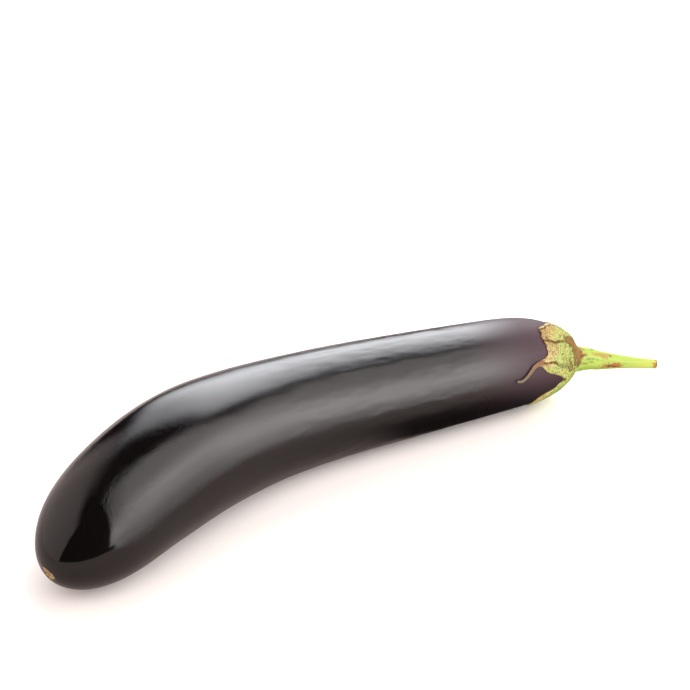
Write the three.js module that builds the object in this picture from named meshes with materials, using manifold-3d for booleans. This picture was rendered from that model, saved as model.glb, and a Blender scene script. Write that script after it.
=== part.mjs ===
// A long, slim eggplant as picked, lying on its side with its bend level.
// It has three grown pieces: the glossy fruit, the leathery calyx that caps the fruit's neck, and
// the stalk that it was cut by.
// Millimetres, +Z up. The blossom end points to -X and the stalk to +X. It rests on z = 0.

import * as THREE from 'three';
import { mergeVertices } from 'three/addons/utils/BufferGeometryUtils.js';
import Module from 'manifold-3d';

// ---------------------------------------------------------------- driving dimensions

// Fruit. Stations run along its curved axis, from the blossom end (0) to the top of the neck.
const FRUIT_LENGTH = 263;
const GIRTHS = [19.1, 24.4, 27.0, 24.4, 23.1, 22.0, 20.1, 18.2]; // even steps, steering radii
const BLOSSOM_ROUNDING = 41; // length over which the blossom end rounds off
const NECK_ROUNDING = 41; // length over which the neck rounds off under the calyx
const SCAR_RADIUS = 2.9; // blossom scar, a shallow dimple at the end
const SCAR_DEPTH = 0.5;

// The bend of the axis, level with the ground: its heading in degrees, anticlockwise from +X.
const HEADING_BLOSSOM = 22;
const HEADING_NECK = -11;
const HEADING_CROOK = -28; // the last stretch crooks on, into the stalk
const BEND_START = 5;
const BEND_END = 192;
const CROOK_LENGTH = 46;

// The lie of the axis over the ground.
const FLAT_DEPTH = 0.35; // how far the underside is pressed flat where it rests
const NECK_LIFT = 1.3; // the neck rises clear of the ground from LIFT_START on
const LIFT_START = 150;
const NECK_DROOP = 0.2; // and sags a little in its crook

// Calyx. Reach is measured over the skin, from the centre of the neck down towards the fruit.
const GAP = 0.3; // between pieces that touch
const RIM_THICKNESS = 0.8;
const CROWN_THICKNESS = 1.0;
const CROWN_REACH = 8; // full thickness up to here
const BLADE_REACH = 20; // thinned to the rim's thickness from here on
const SEAT_REACH = 6; // the flat top that the stalk grows from
const SEAT_BLEND = 3; // reach over which the seat rounds into the blade
const SEAT_HEIGHT = 0.9; // over the top of the fruit's neck
const TIP_CURL = 0.4; // how far lobe tips stand off the skin
const CURL_START = 24; // edge reach from which a lobe is long enough to curl
const CURL_RUN = 12; // further reach over which the curl grows to its full height
const CURL_SHARE = 0.25; // outer share of a lobe that curls
const CALYX_EDGE = [ // angle round the neck in degrees, reach in millimetres: notches and lobe tips
  [78, 19.5], [86, 23], [99, 26.7], [105.5, 30.2], [111, 29.7], [120, 30.9], [130, 30.2],
  [143, 29.7], [149, 32], [153, 35.8], [157.5, 35.9], [161, 34], [166, 32.4], [171, 30],
  [175, 26.2], [182, 22.6], [192, 19.6], [197, 22.6], [203, 25.5], [206, 32], [212, 34.8],
  [224, 36.2], [234, 37.5], [244, 34], [258, 28], [270, 21], [280, 24], [296, 31], [308, 35],
  [316, 38], [324, 34], [338, 27], [348, 20.5], [357, 24], [368, 32], [378, 36.5], [388, 33],
  [398, 27], [408, 22.5], [420, 20.5],
];
const LIP_ANGLE = 97; // one lobe has its flank turned up into a lip
const LIP_HALF_WIDTH = 9;
const LIP_RISE = 0.9;
const LIP_START = 14; // reach from which the lip rises
const LIP_RUN = 10;

// Withered tip of one lobe, a narrow strip that lies curled over the skin: angle, reach, height.
const TENDRIL_ROUTE = [
  [155.5, 31.5, 0.85], [155, 35.5, 1.1], [157, 38.8, 1.4], [162.5, 41.2, 1.6], [168, 43.6, 1.4],
  [171.8, 46.4, 1.1], [170, 49.2, 1.3],
];
const TENDRIL_WIDTHS = [2.6, 1.5, 1.3]; // at its root, middle and tip
const TENDRIL_MIDDLE = 0.4; // share of its length at which it has its middle width
const TENDRIL_THICKNESS = 0.7;

// Stalk, from its seat on the calyx to the cut.
const STALK_LENGTH = 37.2;
const STALK_BASE_RADIUS = 5.7;
const STALK_TIP_RADIUS = 2.1;
const STALK_TAPER = 1.7;
const STALK_DROP = 1.8; // its seat sits this far below the axis of the neck
const STALK_SAG = 9; // degrees below level
const SAG_SHARE = 0.3; // first share of its length, over which it turns down
const RIB_COUNT = 7;
const RIB_DEPTH = 0.03; // as a share of the radius
const RIB_FADE = 0.5; // share of that depth which is lost by the cut end
const CUT_BEVEL = 0.5;

// Facets.
const FRUIT_FACETS = [44, 60]; // around, along
const CALYX_FACETS = { around: 112, outer: 12, inner: 8 };
const TENDRIL_FACETS = [8, 18];
const STALK_FACETS = [28, 16];

// Steps of the numerical walks, and tolerances in millimetres.
const AXIS_STEP = 0.25;
const NECK_WALK_LENGTH = 60; // the calyx lies within this much of the neck's end
const NECK_WALK_STEPS = 300;
const EDGE_WALK_STEPS = 1440; // round the torn edge
const SLOPE_STEP = 1e-3;
const WELD_DISTANCE = 1e-4;

// ---------------------------------------------------------------- form of the fruit

const clamp01 = (t) => Math.min(Math.max(t, 0), 1);
const ease = (t) => clamp01(t) ** 3 * (clamp01(t) * (6 * clamp01(t) - 15) + 10);
const UP = new THREE.Vector3(0, 0, 1);

// Uniform cubic B-spline through the steering radii, so that the profile has no visible joints.
function girth(s) {
  const last = GIRTHS.length - 1;
  const c = [2 * GIRTHS[0] - GIRTHS[1], ...GIRTHS, 2 * GIRTHS[last] - GIRTHS[last - 1]];
  const t = clamp01(s / FRUIT_LENGTH) * last;
  const i = Math.min(Math.floor(t), last - 1);
  const f = t - i;
  const b0 = (1 - f) ** 3;
  const b1 = 3 * f ** 3 - 6 * f ** 2 + 4;
  const b2 = -3 * f ** 3 + 3 * f ** 2 + 3 * f + 1;
  return (c[i] * b0 + c[i + 1] * b1 + c[i + 2] * b2 + c[i + 3] * f ** 3) / 6;
}

const rounding = (distance, length) => Math.sqrt(1 - (1 - clamp01(distance / length)) ** 3);

const radius = (s) => (
  girth(s) * rounding(s, BLOSSOM_ROUNDING) * rounding(FRUIT_LENGTH - s, NECK_ROUNDING)
);

const crook = (s) => clamp01((s - FRUIT_LENGTH + CROOK_LENGTH) / CROOK_LENGTH);

function heading(s) {
  const bend = ease((s - BEND_START) / (BEND_END - BEND_START));
  const degrees = HEADING_BLOSSOM + (HEADING_NECK - HEADING_BLOSSOM) * bend
    + (HEADING_CROOK - HEADING_NECK) * crook(s) ** 2;
  return THREE.MathUtils.degToRad(degrees);
}

const axisHeight = (s) => girth(s) - FLAT_DEPTH
  + NECK_LIFT * ease((s - LIFT_START) / (FRUIT_LENGTH - LIFT_START)) - NECK_DROOP * crook(s) ** 3;

// The axis is walked once in short steps, and read between them.
const axisWalk = [new THREE.Vector2(0, 0)];
for (let s = 0; s < FRUIT_LENGTH; s += AXIS_STEP) {
  const h = heading(s + AXIS_STEP / 2);
  const here = axisWalk[axisWalk.length - 1];
  axisWalk.push(new THREE.Vector2(Math.cos(h), Math.sin(h)).multiplyScalar(AXIS_STEP).add(here));
}

function axisPoint(s) {
  const t = s / AXIS_STEP;
  const i = Math.min(Math.floor(t), axisWalk.length - 2);
  const p = axisWalk[i].clone().lerp(axisWalk[i + 1], t - i);
  return new THREE.Vector3(p.x, p.y, axisHeight(s));
}

const along = (h) => new THREE.Vector3(Math.cos(h), Math.sin(h), 0);
const across = (h) => new THREE.Vector3(-Math.sin(h), Math.cos(h), 0);

const around = (h, angle) => (
  across(h).multiplyScalar(Math.cos(angle)).addScaledVector(UP, Math.sin(angle))
);

// A point of the skin, or one that stands off it by lift.
function skin(s, angle, lift = 0) {
  const h = heading(s);
  if (radius(s) === 0) return axisPoint(s).addScaledVector(along(h), s > 0 ? lift : -lift);
  const low = Math.max(s - SLOPE_STEP, 0);
  const high = Math.min(s + SLOPE_STEP, FRUIT_LENGTH);
  const slope = (radius(high) - radius(low)) / (high - low);
  const k = 1 / Math.hypot(1, slope);
  return axisPoint(s)
    .addScaledVector(around(h, angle), radius(s) + lift * k)
    .addScaledVector(along(h), -lift * slope * k);
}

// ---------------------------------------------------------------- meshes

// Welds a geometry's shared vertices and drops the facets that collapse at its poles.
function weld(geometry) {
  const bare = new THREE.BufferGeometry();
  bare.setAttribute('position', geometry.getAttribute('position'));
  bare.setIndex(geometry.getIndex());
  const welded = mergeVertices(bare, WELD_DISTANCE);
  const index = Array.from(welded.getIndex().array);
  const kept = [];
  for (let i = 0; i < index.length; i += 3) {
    const [a, b, c] = index.slice(i, i + 3);
    if (a !== b && b !== c && c !== a) kept.push(a, b, c);
  }
  welded.setIndex(kept);
  return welded;
}

// Moves every vertex of a geometry to the point that place gives for it, then welds the result.
function shape(geometry, place) {
  const position = geometry.getAttribute('position');
  const vertex = new THREE.Vector3();
  for (let i = 0; i < position.count; i += 1) {
    vertex.fromBufferAttribute(position, i);
    const { x, y, z } = place(vertex, i);
    position.setXYZ(i, x, y, z);
  }
  return weld(geometry);
}

function mesh(name, geometry, color, roughness) {
  geometry.computeVertexNormals();
  const material = new THREE.MeshStandardMaterial({ color, roughness, metalness: 0 });
  const part = new THREE.Mesh(geometry, material);
  part.name = name;
  return part;
}

// ---------------------------------------------------------------- fruit

// A sphere drawn out along the axis. Its poles become the blossom scar and the top of the neck.
function makeFruit() {
  const sphere = new THREE.SphereGeometry(1, ...FRUIT_FACETS);
  return shape(sphere, (v) => {
    const s = FRUIT_LENGTH * (1 + THREE.MathUtils.clamp(v.y, -1, 1)) / 2;
    const p = skin(s, Math.atan2(v.x, v.z));
    if (s < FRUIT_LENGTH / 2) {
      const dimple = SCAR_DEPTH * clamp01(1 - (radius(s) / SCAR_RADIUS) ** 2);
      p.addScaledVector(along(heading(s)), dimple);
    }
    p.z = Math.max(p.z, 0);
    return p;
  });
}

// ---------------------------------------------------------------- calyx

// How far over the skin each station lies from the top of the neck.
const neckWalk = [{ s: FRUIT_LENGTH, reach: 0 }];
for (let i = 1; i <= NECK_WALK_STEPS; i += 1) {
  const s = FRUIT_LENGTH - NECK_WALK_LENGTH * (i / NECK_WALK_STEPS) ** 2;
  const last = neckWalk[neckWalk.length - 1];
  const step = Math.hypot(last.s - s, radius(s) - radius(last.s));
  neckWalk.push({ s, reach: last.reach + step });
}

function stationAt(reach) {
  const i = Math.max(neckWalk.findIndex((w) => w.reach >= reach), 1);
  const [a, b] = [neckWalk[i - 1], neckWalk[i]];
  return a.s + (b.s - a.s) * (reach - a.reach) / (b.reach - a.reach);
}

// The torn edge: a smooth closed curve through the listed notches and tips.
function edgeReach(degrees) {
  const n = CALYX_EDGE.length;
  const first = CALYX_EDGE[0][0];
  const at = (k) => {
    const turns = Math.floor(k / n);
    const [angle, reach] = CALYX_EDGE[k - turns * n];
    return [angle + 360 * turns, reach];
  };
  const d = first + ((((degrees - first) % 360) + 360) % 360);
  let i = 0;
  while (at(i + 1)[0] <= d) i += 1;
  const [p, a, b, q] = [at(i - 1), at(i), at(i + 1), at(i + 2)];
  const span = b[0] - a[0];
  const t = (d - a[0]) / span;
  const slopeA = (b[1] - p[1]) / (b[0] - p[0]) * span;
  const slopeB = (q[1] - a[1]) / (q[0] - a[0]) * span;
  return (2 * t ** 3 - 3 * t ** 2 + 1) * a[1] + (t ** 3 - 2 * t ** 2 + t) * slopeA
    + (3 * t ** 2 - 2 * t ** 3) * b[1] + (t ** 3 - t ** 2) * slopeB;
}

// Angles that space the columns of facets evenly along the torn edge, round its notches too.
function edgeAngles(count) {
  const step = 360 / EDGE_WALK_STEPS;
  const lengths = [0];
  for (let i = 1; i <= EDGE_WALK_STEPS; i += 1) {
    const [a, b] = [i - 1, i].map((k) => edgeReach(k * step));
    const arc = radius(stationAt((a + b) / 2)) * THREE.MathUtils.degToRad(step);
    lengths.push(lengths[i - 1] + Math.hypot(arc, b - a));
  }
  const angles = [];
  let k = 0;
  for (let j = 0; j < count; j += 1) {
    const target = lengths[EDGE_WALK_STEPS] * j / count;
    while (lengths[k + 1] < target) k += 1;
    angles.push((k + (target - lengths[k]) / (lengths[k + 1] - lengths[k])) * step);
  }
  return angles;
}

// How far the underside of the calyx stands off the skin.
function standOff(degrees, t, reach) {
  const tip = clamp01((edgeReach(degrees) - CURL_START) / CURL_RUN);
  const curl = TIP_CURL * tip * ease((t - 1 + CURL_SHARE) / CURL_SHARE);
  const lip = LIP_RISE * Math.exp(-(((degrees - LIP_ANGLE) / LIP_HALF_WIDTH) ** 2));
  return GAP + curl + lip * ease((reach - LIP_START) / LIP_RUN);
}

function calyxThickness(reach) {
  const crown = 1 - ease((reach - CROWN_REACH) / (BLADE_REACH - CROWN_REACH));
  return RIM_THICKNESS + (CROWN_THICKNESS - RIM_THICKNESS) * crown;
}

// The top of the calyx: its skin, which flattens into the seat of the stalk.
function calyxTop(degrees, t) {
  const angle = THREE.MathUtils.degToRad(degrees);
  const reach = t * edgeReach(degrees);
  const lift = standOff(degrees, t, reach) + calyxThickness(reach);
  const blade = skin(stationAt(Math.max(reach, SEAT_REACH)), angle, lift);
  const h = heading(FRUIT_LENGTH);
  const seat = axisPoint(FRUIT_LENGTH)
    .addScaledVector(along(h), SEAT_HEIGHT)
    .addScaledVector(around(h, angle), Math.min(reach, SEAT_REACH) * STALK_BASE_RADIUS / SEAT_REACH)
    .addScaledVector(UP, -STALK_DROP);
  return seat.lerp(blade, ease((reach - SEAT_REACH) / SEAT_BLEND));
}

function calyxUnderside(degrees, t) {
  const reach = t * edgeReach(degrees);
  const angle = THREE.MathUtils.degToRad(degrees);
  return skin(stationAt(reach), angle, standOff(degrees, t, reach));
}

// A lathed lens whose upper and lower faces become the top and the underside.
function makeCap() {
  const { around: columns, outer, inner } = CALYX_FACETS;
  const rows = outer + inner + 2;
  const profile = [];
  for (let j = 0; j < rows; j += 1) {
    const below = j <= inner;
    const t = below ? j / inner : (rows - 1 - j) / outer;
    profile.push(new THREE.Vector2(t, below ? -1 : 1));
  }
  const angles = edgeAngles(columns);
  const lathe = new THREE.LatheGeometry(profile, columns);
  return shape(lathe, (v, index) => {
    const column = Math.floor(index / rows) % columns;
    const row = index % rows;
    const t = profile[row].x;
    return row <= inner ? calyxUnderside(angles[column], t) : calyxTop(angles[column], t);
  });
}

// A flattened, tapering tube along the tendril's route.
function makeTendril() {
  const route = new THREE.CatmullRomCurve3(TENDRIL_ROUTE.map(([degrees, reach, lift]) => (
    skin(stationAt(reach), THREE.MathUtils.degToRad(degrees), lift)
  )));
  const inside = axisPoint(stationAt(TENDRIL_ROUTE[Math.floor(TENDRIL_ROUTE.length / 2)][1]));
  const [root, middle, tip] = TENDRIL_WIDTHS;
  const [sides, steps] = TENDRIL_FACETS;
  const tube = new THREE.CylinderGeometry(1, 1, 1, sides, steps);
  return shape(tube, (v) => {
    const t = clamp01(v.y + 0.5);
    const centre = route.getPointAt(t);
    const forward = route.getTangentAt(t);
    const out = centre.clone().sub(inside);
    out.addScaledVector(forward, -out.dot(forward)).normalize();
    const side = new THREE.Vector3().crossVectors(out, forward);
    const width = t < TENDRIL_MIDDLE ? THREE.MathUtils.lerp(root, middle, t / TENDRIL_MIDDLE)
      : THREE.MathUtils.lerp(middle, tip, (t - TENDRIL_MIDDLE) / (1 - TENDRIL_MIDDLE));
    return centre
      .addScaledVector(side, v.x * width / 2)
      .addScaledVector(out, v.z * TENDRIL_THICKNESS / 2);
  });
}

const wasm = await Module();
wasm.setup();

function toManifold(geometry) {
  return new wasm.Manifold(new wasm.Mesh({
    numProp: 3,
    vertProperties: new Float32Array(geometry.getAttribute('position').array),
    triVerts: new Uint32Array(geometry.getIndex().array),
  }));
}

function fromManifold(solid) {
  const { vertProperties, triVerts } = solid.getMesh();
  const geometry = new THREE.BufferGeometry();
  geometry.setAttribute('position', new THREE.BufferAttribute(vertProperties, 3));
  geometry.setIndex(new THREE.BufferAttribute(triVerts, 1));
  return geometry;
}

function makeCalyx() {
  return fromManifold(toManifold(makeCap()).add(toManifold(makeTendril())));
}

// ---------------------------------------------------------------- stalk

function stalkRadius(t) {
  return STALK_TIP_RADIUS + (STALK_BASE_RADIUS - STALK_TIP_RADIUS) * (1 - t) ** STALK_TAPER;
}

// A ribbed, tapering stalk that leaves its seat squarely and sags towards its cut end.
function makeStalk() {
  const h = heading(FRUIT_LENGTH);
  const level = along(h);
  const [sides, steps] = STALK_FACETS;
  const root = axisPoint(FRUIT_LENGTH)
    .addScaledVector(level, SEAT_HEIGHT + GAP)
    .addScaledVector(UP, -STALK_DROP);
  const tube = new THREE.CylinderGeometry(1, 1, 1, sides, steps);
  return shape(tube, (v) => {
    const t = clamp01(v.y + 0.5);
    const angle = Math.atan2(v.x, v.z);
    const share = Math.hypot(v.x, v.z);
    const sag = THREE.MathUtils.degToRad(STALK_SAG) * ease(t / SAG_SHARE);
    const rib = 1 + RIB_DEPTH * Math.cos(RIB_COUNT * angle) * (1 - RIB_FADE * t);
    const bevel = t === 1 ? CUT_BEVEL : 0;
    const r = share * (stalkRadius(t) * rib - bevel);
    const run = STALK_LENGTH * t;
    return root.clone()
      .addScaledVector(level, run * Math.cos(sag) + r * Math.sin(angle) * Math.sin(sag))
      .addScaledVector(UP, -run * Math.sin(sag) + r * Math.sin(angle) * Math.cos(sag))
      .addScaledVector(across(h), r * Math.cos(angle));
  });
}

// ---------------------------------------------------------------- the part

const eggplant = new THREE.Group();
eggplant.add(mesh('fruit', makeFruit(), '#17121a', 0.22));
eggplant.add(mesh('calyx', makeCalyx(), '#b9c66a', 0.6));
eggplant.add(mesh('stem', makeStalk(), '#b4d058', 0.55));

// The origin is the middle of the footprint, on the ground.
eggplant.updateMatrixWorld(true);
const box = new THREE.Box3().setFromObject(eggplant, true);
const middle = box.getCenter(new THREE.Vector3());
eggplant.position.set(-middle.x, -middle.y, -box.min.z);

export default eggplant;
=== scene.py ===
# A long, slim eggplant as picked, lying on its side, with its calyx and its cut stalk.
# Metres, +Z up. The blossom end points to -X and the stalk to +X, and it rests on z = 0.
# Sizes are named in millimetres, as a grower would measure them, and turned to metres at each mesh.

import bpy
import numpy as np
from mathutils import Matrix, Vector


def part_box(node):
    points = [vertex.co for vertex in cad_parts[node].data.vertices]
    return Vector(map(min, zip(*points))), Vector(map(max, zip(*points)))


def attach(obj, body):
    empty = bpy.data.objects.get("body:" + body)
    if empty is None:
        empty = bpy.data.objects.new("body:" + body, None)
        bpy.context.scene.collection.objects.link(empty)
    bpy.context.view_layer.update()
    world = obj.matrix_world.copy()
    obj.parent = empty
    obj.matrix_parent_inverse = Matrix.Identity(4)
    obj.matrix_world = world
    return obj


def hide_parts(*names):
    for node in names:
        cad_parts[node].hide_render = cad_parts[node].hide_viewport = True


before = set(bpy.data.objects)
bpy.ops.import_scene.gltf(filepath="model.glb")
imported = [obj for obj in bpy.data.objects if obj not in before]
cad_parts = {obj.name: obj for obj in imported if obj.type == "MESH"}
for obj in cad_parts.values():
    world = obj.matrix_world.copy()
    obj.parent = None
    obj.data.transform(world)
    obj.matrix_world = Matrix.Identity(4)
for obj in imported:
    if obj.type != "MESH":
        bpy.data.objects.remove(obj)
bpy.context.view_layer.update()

# ---------------------------------------------------------------- fruit
# The fruit is one grown body of pale spongy flesh in a thin, nearly black skin with a coat of wax.
# It is swept along a level, gently bent axis, and swells into slow lumps that no two fruits share.
# The wax is glassy at the blossom end and dulls towards the neck, where the skin turns violet.

MM = 0.001
FRUIT_LENGTH = 263.0
GIRTHS = (19.1, 24.4, 27.0, 24.4, 23.1, 22.0, 20.1, 18.2)  # even steps, steering radii
BLOSSOM_ROUNDING = 41.0
NECK_ROUNDING = 41.0
SCAR_CENTRE = (1.1, -2.0)  # across and up from the end of the axis
SCAR_HALF_LENGTH = 2.9
SCAR_HALF_WIDTH = 1.9
SCAR_TILT = 30.0  # of its long way, in degrees
SCAR_DEPTH = 0.5
SCAR_SOFTNESS = 0.16  # as shares of its own size, as the next ones
SCAR_RIM_PLACE = 1.15
SCAR_RIM_WIDTH = 0.22
SCAR_RIM_HEIGHT = 0.14
SCAR_WAVES = ((0.07, 3, 1), (0.05, 7, 0), (0.03, 12, 2))  # its ragged edge: depth, count, phase
FAR_FROM_SCAR = 20.0  # the share given to the fruit's other half
HEADING_BLOSSOM = 22.0  # degrees, anticlockwise from +X
HEADING_NECK = -11.0
HEADING_CROOK = -28.0
BEND_START = 5.0
BEND_END = 192.0
CROOK_LENGTH = 46.0
FLAT_DEPTH = 0.35
NECK_LIFT = 1.3
LIFT_START = 150.0
NECK_DROOP = 0.2
AXIS_STEP = 0.25
SLOPE_STEP = 1e-3
FRUIT_RINGS = 372
FRUIT_SIDES = 256
CALYX_SHELTER = 48.0  # the skin under and near the calyx keeps clear of lumps, this far from the neck
SHELTER_FADE = 14.0
GROUND_FADE = 3.0  # height over the ground in which the lumps die out
LUMP_HEIGHT = 0.24
LUMP_LENGTH = 34.0
LUMP_WIDTH = 17.0
RIPPLE_HEIGHT = 0.15  # finer unevenness, which ruffles the edges of the highlights
RIPPLE_LENGTH = 10.0
RIPPLE_WIDTH = 3.2
RIPPLES_FROM = 0.34  # share of the length where the ripples grow to their full height
RIPPLES_FULL = 0.54
RIPPLES_LEAST = 0.15
SKIN_SEED = 7.0
UP = np.array([0.0, 0.0, 1.0])


def ease(t):
    """A smooth step with flat ends, for t from 0 to 1."""
    t = np.clip(t, 0.0, 1.0)
    return t**3 * (t * (6 * t - 15) + 10)


def girth(s):
    """Steering radius at station s: a uniform cubic B-spline through GIRTHS."""
    first, last = 2 * GIRTHS[0] - GIRTHS[1], 2 * GIRTHS[-1] - GIRTHS[-2]
    c = np.array([first, *GIRTHS, last])
    t = np.clip(s / FRUIT_LENGTH, 0.0, 1.0) * (len(GIRTHS) - 1)
    i = np.minimum(t.astype(int), len(GIRTHS) - 2)
    f = t - i
    weights = ((1 - f) ** 3, 3 * f**3 - 6 * f**2 + 4, -3 * f**3 + 3 * f**2 + 3 * f + 1, f**3)
    return sum(w * c[i + k] for k, w in enumerate(weights)) / 6


def rounding(distance, length):
    return np.sqrt(1 - (1 - np.clip(distance / length, 0.0, 1.0)) ** 3)


def radius(s):
    return girth(s) * rounding(s, BLOSSOM_ROUNDING) * rounding(FRUIT_LENGTH - s, NECK_ROUNDING)


def crook(s):
    return np.clip((s - FRUIT_LENGTH + CROOK_LENGTH) / CROOK_LENGTH, 0.0, 1.0)


def heading(s):
    bend = ease((s - BEND_START) / (BEND_END - BEND_START))
    degrees = HEADING_BLOSSOM + (HEADING_NECK - HEADING_BLOSSOM) * bend
    return np.radians(degrees + (HEADING_CROOK - HEADING_NECK) * crook(s) ** 2)


def axis_height(s):
    lift = NECK_LIFT * ease((s - LIFT_START) / (FRUIT_LENGTH - LIFT_START))
    return girth(s) - FLAT_DEPTH + lift - NECK_DROOP * crook(s) ** 3


# The axis is walked once in short steps, and read between them.
walk_stations = np.arange(0.0, FRUIT_LENGTH + AXIS_STEP / 2, AXIS_STEP)
walk_headings = heading(walk_stations[:-1] + AXIS_STEP / 2)
walk_x = np.concatenate([[0.0], np.cumsum(np.cos(walk_headings) * AXIS_STEP)])
walk_y = np.concatenate([[0.0], np.cumsum(np.sin(walk_headings) * AXIS_STEP)])


def axis_point(s):
    x = np.interp(s, walk_stations, walk_x)
    y = np.interp(s, walk_stations, walk_y)
    return np.stack([x, y, axis_height(s)], axis=-1)


def along(h):
    return np.stack([np.cos(h), np.sin(h), np.zeros_like(h)], axis=-1)


def across(h):
    return np.stack([-np.sin(h), np.cos(h), np.zeros_like(h)], axis=-1)


def around(h, angle):
    """Straight out from the axis: 0 is the far side, 90 the top, 180 the near side, in radians."""
    return across(h) * np.cos(angle)[..., None] + UP * np.sin(angle)[..., None]


def skin(s, angle, lift):
    """Points of the skin, or points that stand off it by lift. The arrays have one shape."""
    s, angle, lift = np.broadcast_arrays(np.asarray(s, float), angle, lift)
    h = heading(s)
    low = np.maximum(s - SLOPE_STEP, 0.0)
    high = np.minimum(s + SLOPE_STEP, FRUIT_LENGTH)
    slope = (radius(high) - radius(low)) / (high - low)
    k = 1 / np.hypot(1.0, slope)
    pole = radius(s) == 0
    outward = np.where(pole, 0.0, radius(s) + lift * k)
    forward = np.where(pole, np.where(s > 0, lift, -lift), -lift * slope * k)
    return axis_point(s) + around(h, angle) * outward[..., None] + along(h) * forward[..., None]


def linked(name, data):
    """A new object of a mesh or a camera, in the scene."""
    item = bpy.data.objects.new(name, data)
    bpy.context.scene.collection.objects.link(item)
    return item


def store(mesh, mark, values):
    """Keeps a number, or a vector, at each point of a mesh."""
    kind, field = ("FLOAT_VECTOR", "vector") if values.ndim == 2 else ("FLOAT", "value")
    attribute = mesh.attributes.new(mark, kind, "POINT")
    attribute.data.foreach_set(field, values.astype(np.float32).ravel())


def ringed_piece(name, first, rings, last, marks):
    """A closed mesh of rings between two end points, given in millimetres, facing out.

    marks are named numbers, or named vectors, for the end point, the rings and the other end point.
    """
    rows, columns = rings.shape[:2]
    points = np.concatenate([first[None], rings.reshape(-1, 3), last[None]])
    corner = 1 + np.arange(rows * columns).reshape(rows, columns)
    beside = np.roll(corner, -1, axis=1)
    quads = np.stack([corner[:-1], beside[:-1], beside[1:], corner[1:]], axis=-1).reshape(-1, 4)
    end = len(points) - 1
    fans = [(0, b, a) for a, b in zip(corner[0], beside[0])]
    fans += [(end, a, b) for a, b in zip(corner[-1], beside[-1])]
    faces = [tuple(int(v) for v in f) for f in (*quads, *fans)]
    a, b, c = points[quads[:, 0]], points[quads[:, 1]], points[quads[:, 2]]
    if np.einsum("ij,ij->i", a - points.mean(0), np.cross(b - a, c - a)).sum() < 0:
        faces = [f[::-1] for f in faces]
    mesh = bpy.data.meshes.new(name)
    mesh.from_pydata(((points + to_frame) * MM).tolist(), [], faces)
    mesh.shade_smooth()
    for mark, values in marks.items():
        store(mesh, mark, values)
    return linked(name, mesh)


def linear(colour):
    """An sRGB hex colour as linear RGBA."""
    channels = [int(colour[i : i + 2], 16) / 255 for i in (1, 3, 5)]
    return (*[c / 12.92 if c <= 0.04045 else ((c + 0.055) / 1.055) ** 2.4 for c in channels], 1.0)


def add(tree, kind, inputs=None, **settings):
    """Adds a node with its settings and inputs.

    An input gets a value, a socket, or a node, whose first output in use is linked. It is named by its
    label, or by its number where labels repeat: a colour Mix has its share at 0, its colours at 6 and 7.
    """
    node = tree.nodes.new(kind)
    for name, value in settings.items():
        setattr(node, name, value)
    for key, value in (inputs or {}).items():
        if isinstance(value, bpy.types.Node):
            value = next(output for output in value.outputs if output.enabled)
        if isinstance(value, bpy.types.NodeSocket):
            tree.links.new(value, node.inputs[key])
        else:
            node.inputs[key].default_value = value
    return node


def set_stops(node, stops):
    """Gives a colour ramp its stops, each a position and a colour."""
    elements = node.color_ramp.elements
    for position, _ in stops[1:-1]:
        elements.new(position)
    for element, (position, colour) in zip(elements, stops):
        element.position = position
        element.color = colour


def new_material(name):
    """An empty material and its node tree."""
    material = bpy.data.materials.new(name)
    material.use_nodes = True
    material.node_tree.nodes.clear()
    return material, material.node_tree


def new_tree(name, inputs):
    """A Geometry Nodes tree with named inputs: (name, socket type, default)."""
    tree = bpy.data.node_groups.new(name, "GeometryNodeTree")
    tree.interface.new_socket("Geometry", in_out="INPUT", socket_type="NodeSocketGeometry")
    for label, kind, default in inputs:
        socket = tree.interface.new_socket(label, in_out="INPUT", socket_type=kind)
        if default is not None:
            socket.default_value = default
    tree.interface.new_socket("Geometry", in_out="OUTPUT", socket_type="NodeSocketGeometry")
    return tree


def grow(piece, tree, values):
    """Runs a Geometry Nodes tree on a piece, and keeps what it makes as the piece's plain mesh."""
    modifier = piece.modifiers.new(tree.name, "NODES")
    modifier.node_group = tree
    for item in tree.interface.items_tree:
        if item.name in values:
            modifier[item.identifier] = values[item.name]
    depsgraph = bpy.context.evaluated_depsgraph_get()
    made = bpy.data.meshes.new_from_object(piece.evaluated_get(depsgraph), depsgraph=depsgraph)
    piece.modifiers.remove(modifier)
    piece.data = made
    return piece


# Stations crowd towards the ends, where the fruit rounds off.
ring_turn = np.linspace(0.0, np.pi, FRUIT_RINGS + 2)[1:-1]
fruit_stations = FRUIT_LENGTH * (1 - np.cos(ring_turn)) / 2
fruit_angles = np.linspace(0.0, 2 * np.pi, FRUIT_SIDES, endpoint=False)
fruit_s, fruit_a = np.meshgrid(fruit_stations, fruit_angles, indexing="ij")
fruit_rings = skin(fruit_s, fruit_a, 0.0)


def from_scar(s, angle):
    """The distance from the middle of the oval scar, as a share of its ragged edge's distance."""
    aside = radius(s) * np.cos(angle) - SCAR_CENTRE[0]
    above = radius(s) * np.sin(angle) - SCAR_CENTRE[1]
    tilt = np.radians(SCAR_TILT)
    long_way = (aside * np.cos(tilt) + above * np.sin(tilt)) / SCAR_HALF_LENGTH
    short_way = (above * np.cos(tilt) - aside * np.sin(tilt)) / SCAR_HALF_WIDTH
    turn = np.arctan2(short_way, long_way)
    ragged = 1.0
    for depth, count, phase in SCAR_WAVES:
        ragged = ragged + depth * np.sin(count * turn + phase)
    share = np.hypot(long_way, short_way) / ragged
    return np.where(s < FRUIT_LENGTH / 2, share, FAR_FROM_SCAR)


def scar_dip(share):
    """How deep the scar lies: a dimple inside a low rim of cork."""
    rim = np.exp(-(((share - SCAR_RIM_PLACE) / SCAR_RIM_WIDTH) ** 2))
    return SCAR_DEPTH * np.clip(1 - share**2, 0.0, 1.0) - SCAR_RIM_HEIGHT * rim


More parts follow.
